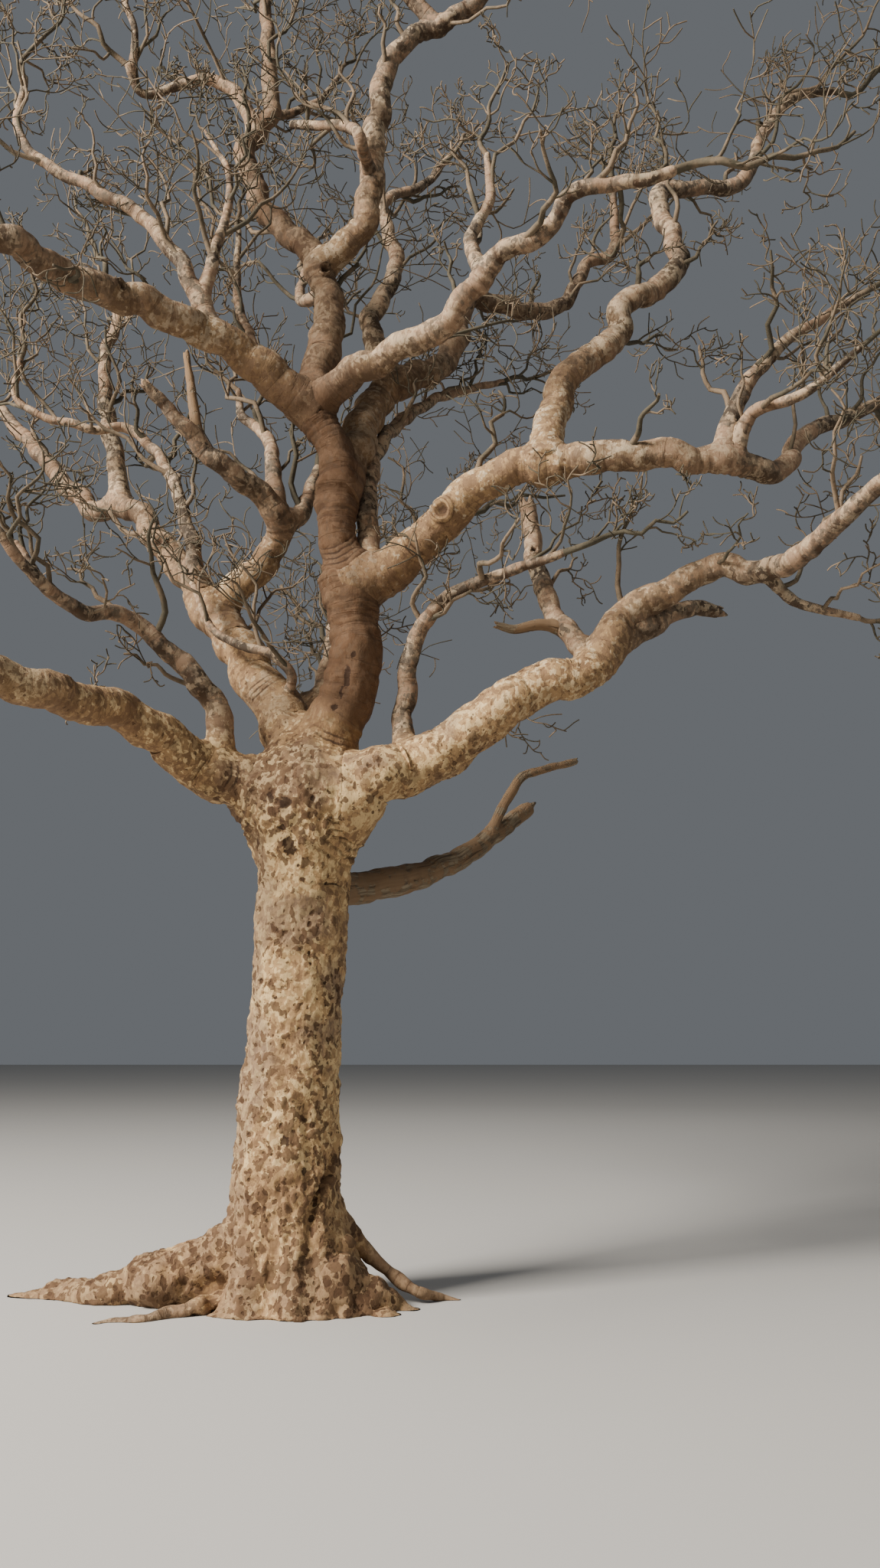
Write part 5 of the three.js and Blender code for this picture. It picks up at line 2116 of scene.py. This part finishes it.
@dataclass
class Studio:
    """The floor, the lights and the camera.

    Attributes:
        floor_size: The side of the floor.
        eye: Where the camera stands.
        pitch: How far it looks up, in degrees.
        lens: Its focal length, in mm.
        lit_point: The point that the lights face.
        floor_colour: The floor's colour.
        sky_colour: The colour of the light all round.
        sky_strength: Its strength.
        key_power: The power of the main light, in watts.
        fill_power: The power of the light opposite.
    """

    floor_size: float = 120.0
    eye: Place = (0.9, -7.9, 1.6)
    pitch: float = 11.5
    lens: float = 28.25
    lit_point: Place = (0.0, 0.0, 4.5)
    floor_colour: Colour = (0.45, 0.435, 0.41)
    sky_colour: Colour = (0.86, 0.92, 1.0)
    sky_strength: float = 0.16
    key_power: float = 13800.0
    fill_power: float = 200.0

    def build(self) -> None:
        """Builds it all."""
        self.build_floor()
        self.build_sky()
        self.build_light("key_light", (-14.0, -10.0, 15.0), 7.0, self.key_power, (1.0, 0.95, 0.88))
        self.build_light("fill_light", (13.0, -8.0, 8.0), 9.0, self.fill_power, (0.9, 0.95, 1.0))
        self.build_light("back_light", (4.0, 16.0, 12.0), 9.0, self.fill_power, (1.0, 0.97, 0.93))
        camera = bpy.data.cameras.new("camera")
        camera.lens = self.lens
        camera.sensor_width = SENSOR_WIDTH
        camera.clip_end = 400.0
        holder = new_object("camera", camera)
        holder.location = self.eye
        holder.rotation_euler = (math.radians(90.0 + self.pitch), 0.0, 0.0)
        bpy.context.scene.camera = holder

    def build_floor(self) -> None:
        """Lays the floor."""
        half = self.floor_size / 2
        made = bpy.data.meshes.new("floor")
        made.from_pydata([(-half, -half, 0), (half, -half, 0), (half, half, 0), (-half, half, 0)],
                         [], [(0, 1, 2, 3)])
        material = bpy.data.materials.new("floor")
        material.use_nodes = True
        shader = material.node_tree.nodes["Principled BSDF"]
        shader.inputs["Base Color"].default_value = (*self.floor_colour, 1.0)
        shader.inputs["Roughness"].default_value = 0.95
        made.materials.append(material)
        new_object("floor", made)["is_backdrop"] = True

    def build_sky(self) -> None:
        """Lights the scene evenly from all round."""
        world = bpy.data.worlds.new("studio")
        world.use_nodes = True
        background = world.node_tree.nodes["Background"]
        background.inputs["Color"].default_value = (*self.sky_colour, 1.0)
        background.inputs["Strength"].default_value = self.sky_strength
        bpy.context.scene.world = world

    def build_light(self, name: str, place: Place, size: float,
                    power: float, colour: Colour) -> None:
        """Hangs a soft square light that faces the tree.

        Args:
            name: Its name.
            place: Where it hangs.
            size: Its side.
            power: Its power, in watts.
            colour: Its colour.
        """
        light = bpy.data.lights.new(name, "AREA")
        light.size = size
        light.energy = power
        light.color = colour
        holder = new_object(name, light)
        holder.location = place
        target = np.array(self.lit_point) - np.array(place)
        level = math.hypot(target[0], target[1])
        holder.rotation_euler = (math.pi / 2 + math.atan2(target[2], level), 0.0,
                                 math.atan2(target[1], target[0]) - math.pi / 2)


def build_wood(skeleton: Skeleton) -> None:
    """Builds the trunk and the limbs."""
    relief = BarkRelief()
    live, dead = LiveBark().material(), DeadWood().material()
    trunk = new_object("trunk_bark", skeleton.trunk_mesh())
    relief.finish(trunk, live)
    keep_above_ground(trunk.data)
    settle(trunk, ["trunk"])
    solids = {limb.name for limb in LIMBS}
    for key, limb in enumerate(skeleton.limbs.values()):
        piece = new_object(f"{limb.name}_bark", skeleton.limb_mesh(limb, key))
        bare = limb.name in DEAD_LIMBS
        relief.finish(piece, dead if bare else live)
        slot = "dead_wood" if bare else "pale_bark" if limb.plan.girth[0] >= 0.15 else "bark"
        settle(piece, [limb.name] if limb.name in solids else [])


# The first key and the step to the next, for the masses, for those of the lesser limbs, and for shoots
MASS_KEYS = (101, 13)
LESSER_MASS_KEYS = (701, 13)
SHOOT_KEYS = (1301, 97)


def build_crown(skeleton: Skeleton) -> None:
    """Grows the twigs and builds them."""
    crown = Crown()
    crown.lay_trunk(skeleton.trunk)
    solids = [skeleton.limbs[plan.name] for plan in LIMBS]
    sides = [skeleton.limbs[plan.name] for plan in SIDE_LIMBS]
    feet = {limb.name: crown.lay_limb(limb) for limb in solids}
    bearing_limbs = [limb for limb in solids if limb.plan.reach > 0]
    for limb, key in zip(bearing_limbs, count(*MASS_KEYS)):
        crown.grow_mass(limb, feet[limb.name], key)
    masses = {f"twigs_{limb.name}" for limb in bearing_limbs}
    feet.update({limb.name: crown.lay_limb(limb) for limb in sides})
    for limb, key in zip([limb for limb in sides if limb.plan.reach > 0], count(*LESSER_MASS_KEYS)):
        crown.grow_mass(limb, feet[limb.name], key)
    for limb, key in zip(solids + sides, count(*SHOOT_KEYS)):
        if limb.name not in DEAD_LIMBS:
            crown.grow_shoots(limb, key)
    tubes, finish = TwigTubes(), TwigBark().material()
    for number, (owners, twigs) in enumerate(crown.pieces(), start=1):
        name = f"twigs_{number}"
        piece = new_object(f"bare_{name}", crown.mesh(name, twigs))
        tubes.finish(piece, finish)
        settle(piece, sorted(masses.intersection(owners)))


def main() -> None:
    """Builds the tree and the studio."""
    logging.basicConfig(level=logging.INFO, format="%(name)s %(message)s")
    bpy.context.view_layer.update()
    skeleton = Skeleton()
    build_wood(skeleton)
    build_crown(skeleton)
    Studio().build()


if __name__ == "__main__":
    main()
